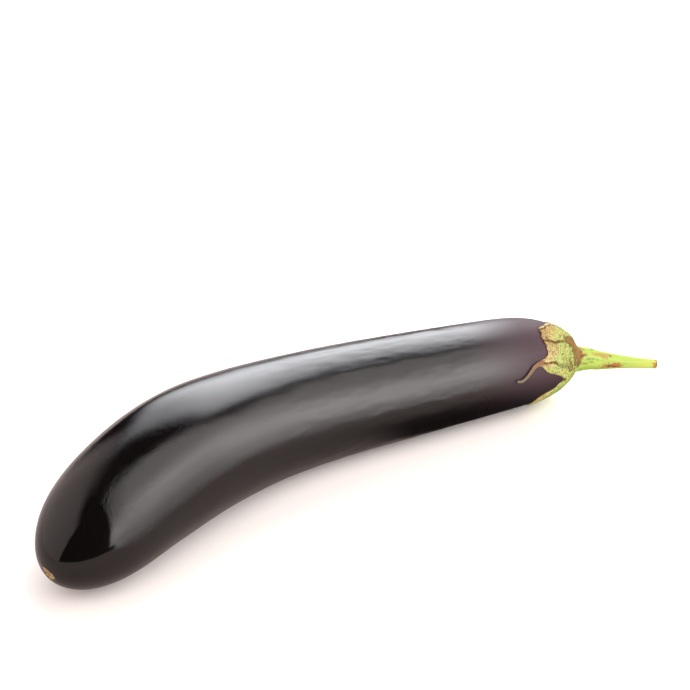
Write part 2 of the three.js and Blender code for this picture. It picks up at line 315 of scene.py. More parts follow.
# The blossom scar.
scar_share = from_scar(fruit_s, fruit_a)
fruit_rings += along(heading(fruit_s)) * scar_dip(scar_share)[..., None]
fruit_rings[..., 2] = np.maximum(fruit_rings[..., 2], 0.0)
pole_share = from_scar(np.array(0.0), np.array(0.0))
blossom_pole = axis_point(np.array(0.0)) + along(heading(np.array(0.0))) * scar_dip(pole_share)
neck_pole = axis_point(np.array(FRUIT_LENGTH))

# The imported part's fruit says where the fruit lies in the shared frame.
cad_low = np.array(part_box("fruit")[0]) / MM
to_frame = np.array([*(cad_low[:2] - fruit_rings.reshape(-1, 3)[:, :2].min(0)), 0.0])

# The place of each point on the straightened fruit, so that patterns follow its bend.
fruit_radius = radius(fruit_s)
straight = np.stack([fruit_s, fruit_radius * np.cos(fruit_a), fruit_radius * np.sin(fruit_a)], axis=-1)
lumpy = ease((FRUIT_LENGTH - CALYX_SHELTER - fruit_s) / SHELTER_FADE)
lumpy = lumpy * ease(fruit_rings[..., 2] / GROUND_FADE)
lumpy = lumpy * ease((scar_share - SCAR_RIM_PLACE) * SCAR_HALF_WIDTH / SHELTER_FADE)
rippled = ease((fruit_s / FRUIT_LENGTH - RIPPLES_FROM) / (RIPPLES_FULL - RIPPLES_FROM))
rippled = lumpy * (RIPPLES_LEAST + (1 - RIPPLES_LEAST) * rippled)
scarred = ease((1 - scar_share) / SCAR_SOFTNESS + 0.5)
scar_line = np.exp(-(((scar_share - SCAR_RIM_PLACE) / SCAR_RIM_WIDTH) ** 2))


def fruit_mark(values, start, end):
    return np.concatenate([[start], values.ravel(), [end]])


fruit = ringed_piece(
    "fruit_skin",
    blossom_pole,
    fruit_rings,
    neck_pole,
    {
        "station": fruit_mark(fruit_s / FRUIT_LENGTH, 0.0, 1.0),
        "straight": np.concatenate([[[0, 0, 0]], straight.reshape(-1, 3), [[FRUIT_LENGTH, 0, 0]]]),
        "lumpy": fruit_mark(lumpy, 0.0, 0.0),
        "rippled": fruit_mark(rippled, 0.0, 0.0),
        "scar": fruit_mark(scarred, scarred[0, 0], 0.0),
        "scar_line": fruit_mark(scar_line, 0.0, 0.0),
    },
)

# Waxed eggplant skin: a glossy cuticle over nearly black pigment. It mirrors the studio sharply at
# the blossom end; towards the neck a dull bloom spreads the highlights, and the pigment thins to violet.
SKIN_IOR = 1.48
SKIN_BLACK = "#070506"
SKIN_BROWN = "#0b0808"
SKIN_VIOLET = "#361924"
SCAR_TAN = "#a8905a"
SCAR_BROWN = "#664212"
SCAR_PINK = "#a5826a"
SCAR_OLIVE = "#2c260e"
GLOSS_STOPS = (  # share of the fruit's length, roughness
    (0.0, 0.08), (0.24, 0.085), (0.30, 0.11), (0.36, 0.165), (0.42, 0.2), (0.58, 0.20), (0.76, 0.22),
    (0.80, 0.28), (0.85, 0.46), (0.89, 0.60), (1.0, 0.66),
)  # fmt: skip
VIOLET_START = 0.73  # share of the fruit's length where the violet begins
VIOLET_END = 0.96
# Painted light: the violet, lighter than the black, stays full on top and thins low on the flank, so the
# top of the neck reads lit.
VIOLET_BELOW = 0.12  # of it, low on the shaded flank
VIOLET_HEIGHTS = (-15.0, 7.0)  # over the axis, between which it changes
PORE_SIZE = 0.45  # the skin's pebbling, which is finer on the real thing: as coarse as it needs to show
PORE_DEPTH = 0.09
PORE_STOPS = (  # share of the fruit's length, how strong the pebbling is
    (0.0, 0.0), (0.06, 0.0), (0.085, 1.0), (0.125, 0.9), (0.17, 0.48), (0.5, 0.35), (1.0, 0.15),
)  # fmt: skip
PEEL_SIZE = 3.2  # wider, softer unevenness of the wax
PEEL_DEPTH = 0.012
STREAK_LENGTH = 60.0
STREAK_WIDTH = 1.6
SCAR_GRAIN = 0.8
SCAR_PATCH = 2.4

skin_material, tree = new_material("waxed aubergine skin")
station = add(tree, "ShaderNodeAttribute", attribute_name="station").outputs["Fac"]
straightened = add(tree, "ShaderNodeAttribute", attribute_name="straight").outputs["Vector"]
scar = add(tree, "ShaderNodeAttribute", attribute_name="scar").outputs["Fac"]
scar_ring = add(tree, "ShaderNodeAttribute", attribute_name="scar_line").outputs["Fac"]
place = add(tree, "ShaderNodeTexCoord").outputs["Object"]
streak_place = add(
    tree,
    "ShaderNodeVectorMath",
    {0: straightened, 1: (1 / STREAK_LENGTH, 1 / STREAK_WIDTH, 1 / STREAK_WIDTH)},
    operation="MULTIPLY",
)
streaks = add(tree, "ShaderNodeTexNoise", {"Vector": streak_place, "Scale": 1.0, "Detail": 3.0})
violet = add(
    tree,
    "ShaderNodeMapRange",
    {"Value": station, "From Min": VIOLET_START, "From Max": VIOLET_END},
    interpolation_type="SMOOTHSTEP",
)
# Painted light: the violet share falls with height over the axis, lightening the top of the neck and
# darkening its lower flank.
over_axis = add(tree, "ShaderNodeSeparateXYZ", {0: straightened})
violet_on_lit_top = add(
    tree,
    "ShaderNodeMapRange",
    {
        "Value": over_axis.outputs["Z"],
        "From Min": VIOLET_HEIGHTS[0],
        "From Max": VIOLET_HEIGHTS[1],
        "To Min": VIOLET_BELOW,
    },
    interpolation_type="SMOOTHSTEP",
)
violet_share = add(tree, "ShaderNodeMath", {0: violet, 1: violet_on_lit_top}, operation="MULTIPLY")
dark = add(
    tree, "ShaderNodeMix", {0: streaks, 6: linear(SKIN_BLACK), 7: linear(SKIN_BROWN)}, data_type="RGBA"
)
pigment = add(
    tree, "ShaderNodeMix", {0: violet_share, 6: dark, 7: linear(SKIN_VIOLET)}, data_type="RGBA"
)
scar_grain, scar_patches, peel, pores = (
    add(tree, "ShaderNodeTexNoise", {"Vector": place, "Scale": 1 / (size * MM), "Detail": detail})
    for size, detail in ((SCAR_GRAIN, 4.0), (SCAR_PATCH, 2.0), (PEEL_SIZE, 1.0), (PORE_SIZE, 0.0))
)
patchiness = add(tree, "ShaderNodeMapRange", {"Value": scar_patches, "From Min": 0.4, "From Max": 0.6})
pale_cork = add(
    tree, "ShaderNodeMix", {0: patchiness, 6: linear(SCAR_TAN), 7: linear(SCAR_PINK)}, data_type="RGBA"
)
graininess = add(tree, "ShaderNodeMapRange", {"Value": scar_grain, "From Min": 0.38, "From Max": 0.56})
cork = add(
    tree, "ShaderNodeMix", {0: graininess, 6: linear(SCAR_BROWN), 7: pale_cork}, data_type="RGBA"
)
ringed = add(tree, "ShaderNodeMix", {0: scar_ring, 6: pigment, 7: linear(SCAR_OLIVE)}, data_type="RGBA")
skin_colour = add(tree, "ShaderNodeMix", {0: scar, 6: ringed, 7: cork}, data_type="RGBA")
gloss = add(tree, "ShaderNodeValToRGB", {"Fac": station})
set_stops(gloss, [(position, (level, level, level, 1.0)) for position, level in GLOSS_STOPS])
dulled = add(tree, "ShaderNodeMapRange", {"Value": streaks, "To Min": 0.9, "To Max": 1.12})
skin_rough = add(tree, "ShaderNodeMath", {0: gloss, 1: dulled}, operation="MULTIPLY")
scar_rough = add(tree, "ShaderNodeMapRange", {"Value": scar, "To Min": 0.0, "To Max": 0.45})
rough = add(tree, "ShaderNodeMath", {0: skin_rough, 1: scar_rough}, operation="ADD")
waxy = add(tree, "ShaderNodeBump", {"Distance": PEEL_DEPTH * MM, "Height": peel})
pore_strength = add(tree, "ShaderNodeValToRGB", {"Fac": station})
set_stops(pore_strength, [(position, (level, level, level, 1.0)) for position, level in PORE_STOPS])
pebbled = add(
    tree,
    "ShaderNodeBump",
    {"Strength": pore_strength, "Distance": PORE_DEPTH * MM, "Height": pores, "Normal": waxy},
)
skin_shader = add(
    tree,
    "ShaderNodeBsdfPrincipled",
    {"Base Color": skin_colour, "Roughness": rough, "IOR": SKIN_IOR, "Normal": pebbled},
)
add(tree, "ShaderNodeOutputMaterial", {"Surface": skin_shader})

# Slow lumps over the skin and ripples on them, both longer than they are wide, set the highlights waving.
lumps = new_tree(
    "lumps of the skin",
    (
        ("Lump Height", "NodeSocketFloat", LUMP_HEIGHT * MM),
        ("Lump Length", "NodeSocketFloat", LUMP_LENGTH),
        ("Lump Width", "NodeSocketFloat", LUMP_WIDTH),
        ("Ripple Height", "NodeSocketFloat", RIPPLE_HEIGHT * MM),
        ("Ripple Length", "NodeSocketFloat", RIPPLE_LENGTH),
        ("Ripple Width", "NodeSocketFloat", RIPPLE_WIDTH),
        ("Seed", "NodeSocketFloat", SKIN_SEED),
        ("Skin", "NodeSocketMaterial", None),
    ),
)
given = add(lumps, "NodeGroupInput")
where_straight = add(
    lumps, "GeometryNodeInputNamedAttribute", {"Name": "straight"}, data_type="FLOAT_VECTOR"
)
heights = []
for form, mark in (("Lump", "lumpy"), ("Ripple", "rippled")):
    where = add(lumps, "GeometryNodeInputNamedAttribute", {"Name": mark}, data_type="FLOAT")
    long_way, short_way = given.outputs[form + " Length"], given.outputs[form + " Width"]
    grain = add(lumps, "ShaderNodeCombineXYZ", {0: long_way, 1: short_way, 2: short_way})
    form_place = add(lumps, "ShaderNodeVectorMath", {0: where_straight, 1: grain}, operation="DIVIDE")
    swell = add(
        lumps,
        "ShaderNodeTexNoise",
        {"Vector": form_place, "W": given.outputs["Seed"], "Scale": 1.0, "Detail": 1.0},
        noise_dimensions="4D",
    )
    centred = add(lumps, "ShaderNodeMapRange", {"Value": swell, "To Min": -1.0, "To Max": 1.0})
    form_height = given.outputs[form + " Height"]
    full = add(lumps, "ShaderNodeMath", {0: centred, 1: form_height}, operation="MULTIPLY")
    faded = add(lumps, "ShaderNodeMath", {0: full, 1: where}, operation="MULTIPLY")
    heights.append(faded)
height = add(lumps, "ShaderNodeMath", {0: heights[0], 1: heights[1]}, operation="ADD")
outward = add(
    lumps,
    "ShaderNodeVectorMath",
    {0: add(lumps, "GeometryNodeInputNormal"), "Scale": height},
    operation="SCALE",
)
swollen = add(
    lumps, "GeometryNodeSetPosition", {"Geometry": given.outputs["Geometry"], "Offset": outward}
)
whole = add(lumps, "GeometryNodeRealizeInstances", {"Geometry": swollen})
clad = add(lumps, "GeometryNodeSetMaterial", {"Geometry": whole, "Material": given.outputs["Skin"]})
add(lumps, "NodeGroupOutput", {"Geometry": clad})

grow(fruit, lumps, {"Skin": skin_material})
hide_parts("fruit")
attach(fruit, "root")

# ---------------------------------------------------------------- calyx
# The calyx is a leathery cap that grew over the fruit's neck and tore into lobes as the fruit swelled.
# It is fresh yellow-green near the stalk and dries to tan towards its torn edge, with brown cracks,
# a collar of brown scab under the stalk, and one flank of a lobe turned up into a lip, with painted shadow
# in the fold under it and in one notch.

GAP = 0.12
RIM_THICKNESS = 0.55
CROWN_THICKNESS = 0.9
CROWN_REACH = 8.0
BLADE_REACH = 20.0
SEAT_REACH = 6.0
SEAT_BLEND = 3.0
SEAT_HEIGHT = 0.9
EDGE_THINNING = 0.5  # of its thickness and its gap, over the last share of its reach
EDGE_SHARE = 0.12
TIP_CURL = 0.12
CURL_START = 24.0
CURL_RUN = 12.0
CURL_SHARE = 0.25
CALYX_EDGE = (  # angle round the neck in degrees, reach in millimetres: notches and lobe tips
    (78, 19.5), (86, 23), (99, 26.7), (105.5, 30.2), (111, 29.7), (120, 30.9), (130, 30.2),
    (143, 29.7), (149, 32), (153, 35.8), (157.5, 35.9), (161, 34), (166, 32.4), (171, 30),
    (175, 26.2), (182, 22.6), (192, 19.6), (197, 22.6), (203, 25.5), (206, 32), (212, 34.8),
    (224, 36.2), (234, 37.5), (244, 34), (258, 28), (270, 21), (280, 24), (296, 31), (308, 35),
    (316, 38), (324, 34), (338, 27), (348, 20.5), (357, 24), (368, 32), (378, 36.5), (388, 33),
    (398, 27), (408, 22.5), (420, 20.5),
)  # fmt: skip
LIP_ANGLE = 97.0
LIP_HALF_WIDTH = 9.0
LIP_RISE = 0.55
LIP_START = 14.0
LIP_RUN = 10.0
STALK_BASE_RADIUS = 5.7
STALK_DROP = 1.8
NECK_WALK_LENGTH = 60.0
NECK_WALK_STEPS = 900
EDGE_WALK_STEPS = 2880
CALYX_COLUMNS = 640
TOP_ROWS = 104
RIM_ROWS = 6
UNDER_ROWS = 16
FRAY_SIZE = 2.2  # the torn edge is ragged on this scale
FRAY_DEPTH = 0.32
FRAY_SEED = 3
NOISE_WAVES = 24
NOISE_SPREAD = (0.75, 1.6)  # the wave lengths in noise, as shares of its grain size
# Marks run over the cap through these points: angle in degrees, reach and half width in millimetres.
CRACKS_AND_FOLD_SHADOW = (
    ((125.0, 30.6, 0.55), (125.4, 28.5, 0.6), (127.0, 26.1, 0.75), (129.2, 24.5, 0.65),
     (127.4, 22.4, 0.6), (125.6, 19.6, 0.55), (123.7, 18.3, 0.4)),
    ((154.6, 34, 0.4), (156.0, 32.6, 0.45), (157.0, 30.9, 0.45), (156.2, 28.6, 0.5), (158, 26.2, 0.5),
     (160.6, 25, 0.3)),
    ((155, 15.7, 0.3), (158, 16.5, 0.4), (165, 14.8, 0.35), (172.6, 13.5, 0.45), (179, 13.9, 0.45),
     (180.7, 15.4, 0.45), (175, 16.6, 0.35), (169.5, 16.8, 0.35)),
    ((160, 14.4, 0.25), (166, 16.2, 0.3), (172, 15.0, 0.3), (176, 15.2, 0.3)),
    # the fold under the lip: its dark line is painted shadow in the crease, not a split
    ((110, 31, 0.35), (107.2, 28.8, 0.45), (105, 27.3, 0.5), (100.3, 25.1, 0.6), (96, 23, 0.65),
     (90, 20.4, 0.6), (87.5, 18.2, 0.6), (91.6, 17.3, 0.6), (94, 15.7, 0.4)),
)  # fmt: skip
SCAB = (
    (121, 16.6, 1.1), (119, 14, 2.3), (122, 9.6, 4.4), (131, 7.8, 5.8), (140, 7.8, 5.7), (147, 9.6, 3.8),
    (151, 11.7, 1.4), (156, 12.3, 0.8), (163, 12, 0.6), (170, 11.4, 0.6), (176, 11.2, 0.55),
    (182, 12.8, 0.45),
)  # fmt: skip
STAINS = (
    ((129, 29.8, 0.9), (129.5, 27.5, 0.9), (132.5, 25, 0.8), (131, 22.5, 0.6)),
    ((110.5, 28.6, 1.7), (111, 26.5, 1.9), (106, 24, 1.5), (103, 21.5, 0.9)),
    ((118, 29.5, 1.0), (120, 27.5, 0.8)),
    ((165, 17, 1.2), (171, 15, 1.5), (177, 14.6, 1.3)),
)
DARK_SPECKS_AND_NOTCH_SHADOW = (
    ((121.2, 28.5, 0.4),), ((102.3, 16.6, 0.3),), ((116.3, 19.6, 0.4),),
    # the first two sit in the notch between the middle and lower lobes: painted shadow there; the rest are
    # dark specks
    ((193, 19.2, 1.0), (193, 20.5, 0.8)), ((192, 18.4, 0.5),), ((134, 17.5, 0.3),), ((147, 21, 0.3),),
    ((139, 24, 0.25),), ((198, 25, 0.3),), ((204, 22.5, 0.35),), ((209, 27, 0.35),), ((201, 29, 0.3),),
    ((196, 21, 0.3),),
)  # fmt: skip
DEEP_GREENS = (
    ((160.6, 25, 0.5), (165, 22.2, 0.9), (168.2, 18.3, 0.7)),
    ((216.7, 19, 0.8), (215, 20.5, 0.6)),
    ((222.6, 14.1, 0.9), (221, 15.5, 0.6)),
)
CREAM_PATCHES_AND_LIP_HIGHLIGHT = (
    ((140, 30.5, 1.6), (145, 31, 2.2), (150, 31, 1.8)),
    ((205, 30, 2.8), (209, 33, 3.4), (215, 34, 3.4)),
    # the upturned lip above the fold: its cream is partly a painted highlight on the face turned up to the
    # light
    ((100, 26.2, 1.2), (95, 23.5, 1.4), (88, 21.5, 1.6), (82, 19.5, 1.0)),
    ((107, 23.9, 0.3), (113, 23.5, 0.3)),
)
BROWN_RIM = (109, 136)  # degrees between which the torn edge has a thin brown rim
CRACK_DEPTH = 0.2
SCAB_HEIGHT = 0.25
RIB_TIPS = (104, 127, 155, 232, 314, 378)  # the lobes' midribs run to these angles
RIB_HEIGHT = 0.16
RIB_HALF_WIDTH = 1.6
WRINKLE_HEIGHT = 0.06
WRINKLE_SIZE = 1.5
WRINKLE_SEED = 9
BLISTER_HEIGHT = 0.12
BLISTER_SIZE = 5.0
BLISTER_SEED = 10
SCAB_UNEVENNESS = 0.4
SCAB_GRAIN = 0.9
SCAB_SEED = 8
RIBS_END = 1.05  # share of the reach at which a midrib has sunk into the blade, over the next share
RIBS_FADE = 0.4
RELIEF_START = 1.0  # past the seat of the stalk
# How crisp the edge of each kind of mark is.
CRACK_SHARPNESS = 1.1
SPOT_SHARPNESS = 1.4
SCAB_SHARPNESS = 3.5
SCAB_MIDDLE_SHARPNESS = 1.6
STAIN_SHARPNESS = 0.8
CREAM_SHARPNESS = 0.8
GREEN_SHARPNESS = 0.7
RIB_SHARPNESS = 0.5
# Noise in layers makes the marks wander: its strength, its grain size in millimetres and its seed.
FINE_WANDER = ((0.4, 1.3, 11), (0.2, 0.6, 12))
BROAD_WANDER = ((0.35, 2.6, 5), (0.2, 0.9, 6))
STAIN_STRENGTH = 0.38
STAIN_PATCHINESS = 0.45
STAIN_GRAIN = 0.8
STAIN_SEED = 13
# The cap is dry at its edge and greens over a run inwards. The lobes past the first degrees are a little
# greener, and those past the second stay green almost to their edge.
DRY_EDGE = 0.4
GREENING_RUN = 11.0
TOP_FRESHNESS = 0.85
GREENER_LOBES = (150, 30)  # where they begin, and over how many degrees
LOW_FRESHNESS = 0.8
LOW_LOBES = (156, 10)
LOW_DRY_EDGE = -0.6
LOW_GREENING_RUN = 2.5
BROWN_RIM_WIDTH = 0.5
BROWN_RIM_FAINT = 0.3  # its strength all round, and what is added between its degrees
BROWN_RIM_ADDED = 0.6
BROWN_RIM_SOFTNESS = 6.0  # degrees
BROWN_RIM_WANDER = (0.3, 1.4)  # its weakest and its strongest
SPECKED_MIDDLE = 145.0  # degrees round the neck where the specks are thickest
SPECKED_SHOULDER = 1.25  # over 1, so that a whole band round the middle is thick with them
SPECKED_SPREAD = 75.0
SPECKED_LEAST = 0.22

neck_steps = np.linspace(0.0, 1.0, NECK_WALK_STEPS + 1)
neck_stations = FRUIT_LENGTH - NECK_WALK_LENGTH * neck_steps**2
neck_reach = np.concatenate(
    [[0.0], np.cumsum(np.hypot(np.diff(neck_stations), np.diff(radius(neck_stations))))]
)


def station_at(reach):
    """The station that lies this far over the skin from the top of the neck."""
    return np.interp(reach, neck_reach, neck_stations)


def edge_reach(degrees):
    """The torn edge: a smooth closed curve through the listed notches and tips."""
    edge = np.array(CALYX_EDGE, float)
    turn = np.array([360.0, 0.0])
    p = np.concatenate([edge[-1:] - turn, edge, edge[:2] + turn])
    d = edge[0, 0] + (degrees - edge[0, 0]) % 360
    i = np.clip(np.searchsorted(p[1:-1, 0], d, side="right") - 1, 0, len(edge) - 1)
    before, a, b, after = p[i], p[i + 1], p[i + 2], p[np.minimum(i + 3, len(p) - 1)]
    wrapped = (i + 3 >= len(p))[..., None]
    after = np.where(wrapped, edge[1] + turn, after)
    span = b[..., 0] - a[..., 0]
    t = (d - a[..., 0]) / span
    slope_a = (b[..., 1] - before[..., 1]) / (b[..., 0] - before[..., 0]) * span
    slope_b = (after[..., 1] - a[..., 1]) / (after[..., 0] - a[..., 0]) * span
    return (
        (2 * t**3 - 3 * t**2 + 1) * a[..., 1]
        + (t**3 - 2 * t**2 + t) * slope_a
        + (3 * t**2 - 2 * t**3) * b[..., 1]
        + (t**3 - t**2) * slope_b
    )


def stand_off(degrees, t, reach):
    """How far the underside of the calyx stands off the skin."""
    near_edge = EDGE_THINNING * ease((t - 1 + EDGE_SHARE) / EDGE_SHARE)
    tip = np.clip((edge_reach(degrees) - CURL_START) / CURL_RUN, 0.0, 1.0)
    curl = TIP_CURL * tip * ease((t - 1 + CURL_SHARE) / CURL_SHARE)
    lip = LIP_RISE * np.exp(-(((degrees - LIP_ANGLE) / LIP_HALF_WIDTH) ** 2))
    return GAP * (1 - near_edge) + curl + lip * ease((reach - LIP_START) / LIP_RUN)


def calyx_thickness(t, reach):
    near_edge = EDGE_THINNING * ease((t - 1 + EDGE_SHARE) / EDGE_SHARE)
    crown = 1 - ease((reach - CROWN_REACH) / (BLADE_REACH - CROWN_REACH))
    return (RIM_THICKNESS + (CROWN_THICKNESS - RIM_THICKNESS) * crown) * (1 - near_edge)


def calyx_surface(degrees, reach, lift):
    """The blade of the calyx over the skin, which flattens into the seat of the stalk."""
    angle = np.radians(degrees)
    blade = skin(station_at(np.maximum(reach, SEAT_REACH)), angle, lift)
    h = heading(np.full_like(reach, FRUIT_LENGTH))
    spread = np.minimum(reach, SEAT_REACH) * STALK_BASE_RADIUS / SEAT_REACH
    seat = neck_pole + along(h) * SEAT_HEIGHT - UP * STALK_DROP + around(h, angle) * spread[..., None]
    blend = ease((reach - SEAT_REACH) / SEAT_BLEND)[..., None]
    return seat + (blade - seat) * blend


def inside_mark(points, route, ragged):
    """How far inside a mark each point lies: 1 on its middle line, 0 at its edge and less beyond."""
    corners = np.array(route, float)
    at = calyx_surface(corners[:, 0], corners[:, 1], np.zeros(len(corners)))
    length = np.concatenate([[0.0], np.cumsum(np.linalg.norm(np.diff(at, axis=0), axis=-1))])
    walk = np.linspace(0.0, length[-1], int(length[-1] / corners[:, 2].min() * 2) + 1)
    degrees, reach, half_width = (np.interp(walk, length, corners[:, k]) for k in range(3))
    line = calyx_surface(degrees, reach, np.full(len(walk), RIM_THICKNESS + GAP))
    inside = np.full(points.shape[:-1], -np.inf)
    for centre, width in zip(line, half_width):
        inside = np.maximum(inside, 1 - np.linalg.norm(points - centre, axis=-1) / (width * ragged))
    return inside


def smooth_noise(points, size, seed):
    """Seeded smooth noise, mostly between -1 and 1, of the given grain size, for points of any count."""
    draw = np.random.default_rng(seed)
    total = np.zeros(points.shape[:-1])
    for _ in range(NOISE_WAVES):
        direction = draw.normal(size=3)
        direction /= np.linalg.norm(direction)
        wave = direction * 2 * np.pi / (size * draw.uniform(*NOISE_SPREAD))
        total += np.sin(points @ wave + draw.uniform(0, 2 * np.pi))
    return total * np.sqrt(2 / NOISE_WAVES) / 2


def wandering(points, layers):
    """A factor round 1 that wanders over the points, from layers of smooth noise."""
    factor = 1.0
    for strength, size, seed in layers:
        factor = factor + strength * smooth_noise(points, size, seed)
    return factor


def painted(points, routes, ragged, sharpness):
    """The strength of the strongest of several marks at each point, from 0 to 1."""
    inside = np.maximum.reduce([inside_mark(points, route, ragged) for route in routes])
    return ease(inside * sharpness + 0.5)


# Columns are spaced evenly along the torn edge, round its notches too.
walk_degrees = np.linspace(0.0, 360.0, EDGE_WALK_STEPS + 1)
walk_edge = edge_reach(walk_degrees)
walk_arc = radius(station_at(walk_edge[:-1])) * np.radians(360.0 / EDGE_WALK_STEPS)
walk_length = np.concatenate([[0.0], np.cumsum(np.hypot(walk_arc, np.diff(walk_edge)))])
column_length = walk_length[-1] * np.arange(CALYX_COLUMNS) / CALYX_COLUMNS
column_degrees = np.interp(column_length, walk_length, walk_degrees)
edge_points = calyx_surface(column_degrees, edge_reach(column_degrees), np.zeros(CALYX_COLUMNS))
column_edge = edge_reach(column_degrees) + FRAY_DEPTH * smooth_noise(edge_points, FRAY_SIZE, FRAY_SEED)

# The section of the cap, from the middle of its underside out, round the rim and back over the top.
under_t = np.linspace(0.0, 1.0, UNDER_ROWS + 1)[1:]
rim_turn = np.linspace(-np.pi / 2, np.pi / 2, RIM_ROWS + 2)[1:-1]
top_t = 1 - np.linspace(0.0, 1.0, TOP_ROWS + 1)[:-1]
row_t = np.concatenate([under_t, np.ones(RIM_ROWS), top_t])
row_face = np.concatenate([np.zeros(UNDER_ROWS), (1 + np.sin(rim_turn)) / 2, np.ones(TOP_ROWS)])
row_bulge = np.concatenate([np.zeros(UNDER_ROWS), np.cos(rim_turn), np.zeros(TOP_ROWS)])
cap_degrees = np.broadcast_to(column_degrees, (len(row_t), CALYX_COLUMNS))
inset = RIM_THICKNESS * (1 - EDGE_THINNING) / 2
cap_reach = row_t[:, None] * (column_edge - inset) + row_bulge[:, None] * inset
cap_t = cap_reach / column_edge
cap_off = stand_off(cap_degrees, cap_t, cap_reach)
cap_top_off = cap_off + calyx_thickness(cap_t, cap_reach)
plain_top = calyx_surface(cap_degrees, cap_reach, cap_top_off)

# Relief of the upper face: cracks and the fold, scab, midribs, wrinkles and blisters.
wander = wandering(plain_top, FINE_WANDER)
broad = wandering(plain_top, BROAD_WANDER)
# Real brown splits, and painted shadow along the fold under the lip.
crack_and_fold_shadow = painted(plain_top, CRACKS_AND_FOLD_SHADOW, wander, CRACK_SHARPNESS)
scab_inside = inside_mark(plain_top, SCAB, broad)
scab = ease(scab_inside * SCAB_SHARPNESS + 0.5)
stain_patches = STAIN_STRENGTH + STAIN_PATCHINESS * smooth_noise(plain_top, STAIN_GRAIN, STAIN_SEED)
stain = painted(plain_top, STAINS, broad, STAIN_SHARPNESS) * np.clip(stain_patches, 0, 1)
# Dark specks, and painted shadow in the notch between the middle and lower lobes.
speck_and_notch_shadow = painted(plain_top, DARK_SPECKS_AND_NOTCH_SHADOW, wander, SPOT_SHARPNESS)
deep_green = painted(plain_top, DEEP_GREENS, wander, GREEN_SHARPNESS)
# Cream patches where the cap dried, and on the upturned lip partly a painted highlight.
cream = painted(plain_top, CREAM_PATCHES_AND_LIP_HIGHLIGHT, broad, CREAM_SHARPNESS)
rib_routes = []
for tip in RIB_TIPS:
    rib_start = (tip, SEAT_REACH + SEAT_BLEND, RIB_HALF_WIDTH)
    rib_end = (tip, edge_reach(np.array(float(tip))), RIB_HALF_WIDTH)
    rib_routes.append((rib_start, rib_end))
rib = painted(plain_top, rib_routes, 1.0, RIB_SHARPNESS)
on_blade = ease((cap_reach - SEAT_REACH - RELIEF_START) / SEAT_BLEND) * row_face[:, None]
scab_lumps = 1 - SCAB_UNEVENNESS + SCAB_UNEVENNESS * smooth_noise(plain_top, SCAB_GRAIN, SCAB_SEED)
relief = (
    RIB_HEIGHT * rib * ease((RIBS_END - cap_t) / RIBS_FADE)
    + SCAB_HEIGHT * scab * scab_lumps
    + WRINKLE_HEIGHT * smooth_noise(plain_top, WRINKLE_SIZE, WRINKLE_SEED)
    + BLISTER_HEIGHT * smooth_noise(plain_top, BLISTER_SIZE, BLISTER_SEED)
    - CRACK_DEPTH * crack_and_fold_shadow
)
cap_lift = cap_off + (cap_top_off - cap_off + relief * on_blade) * row_face[:, None]
underside = skin(station_at(cap_reach), np.radians(cap_degrees), cap_off)
upper = calyx_surface(cap_degrees, cap_reach, cap_lift)
cap_rings = np.where(row_face[:, None, None] > 0, upper, underside)
cap_under_pole = skin(np.array([FRUIT_LENGTH]), np.array([0.0]), np.array([GAP]))[0]
cap_top_pole = neck_pole + along(heading(np.array(FRUIT_LENGTH))) * SEAT_HEIGHT - UP * STALK_DROP

# Where it is fresh, where its edge has browned, and where specks sit.
to_edge = np.maximum(column_edge - cap_reach, 0.0)
greener = TOP_FRESHNESS + (1 - TOP_FRESHNESS) * ease((cap_degrees - GREENER_LOBES[0]) / GREENER_LOBES[1])
fresh = ease((to_edge - DRY_EDGE) / GREENING_RUN) * greener
low_lobes = LOW_FRESHNESS * ease((cap_degrees - LOW_LOBES[0]) / LOW_LOBES[1])
fresh = np.maximum(fresh, low_lobes * ease((to_edge - LOW_DRY_EDGE) / LOW_GREENING_RUN))
rim_here = ease((cap_degrees - BROWN_RIM[0]) / BROWN_RIM_SOFTNESS)
rim_here = rim_here * ease((BROWN_RIM[1] - cap_degrees) / BROWN_RIM_SOFTNESS)
brown_rim = np.exp(-((to_edge / BROWN_RIM_WIDTH) ** 2)) * (BROWN_RIM_FAINT + BROWN_RIM_ADDED * rim_here)
brown_rim = brown_rim * np.clip(wander, *BROWN_RIM_WANDER)
near_side = SPECKED_SHOULDER - np.abs(cap_degrees - SPECKED_MIDDLE) / SPECKED_SPREAD
specked = on_blade * (SPECKED_LEAST + (1 - SPECKED_LEAST) * np.clip(near_side, 0.0, 1.0))


def cap_mark(values):
    return np.concatenate([[0.0], values.ravel(), [0.0]])


calyx = ringed_piece(
    "calyx_cap",
    cap_under_pole,
    cap_rings,
    cap_top_pole,
    {
        "fresh": cap_mark(fresh),
        "cream": cap_mark(cream),
        "stain": cap_mark(stain),
        "deep_green": cap_mark(deep_green),
        "scab": cap_mark(scab * row_face[:, None]),
        "scab_middle": cap_mark(ease(scab_inside * SCAB_MIDDLE_SHARPNESS) * row_face[:, None]),
        # brown cork and browned edge, and painted shadow in the fold under the lip and in one notch
        "bark_and_painted_shadow": cap_mark(np.maximum(np.maximum(crack_and_fold_shadow, speck_and_notch_shadow) * row_face[:, None], brown_rim)),
        "specked": cap_mark(specked),
    },
)

# Leathery calyx: a fresh green leaf-like cap, matt and slightly fleshy, blotched with paler and
# greener patches, cream and orange-brown where it has dried, and brown cork wherever it has split. The
# same brown is painted shadow in the fold under the lip and in one notch, and the lip's cream is partly a
# painted highlight.
CALYX_CREAM = "#988c58"
CALYX_STRAW = "#a0995a"
CALYX_YELLOW = "#9ca257"
CALYX_GREEN = "#84a04a"
CALYX_DEEP = "#5c7030"
CALYX_PALE = "#b3a068"
CALYX_RUST = "#8b5c1e"
SCAB_BROWN = "#6a4a18"
SCAB_DARK = "#462a12"
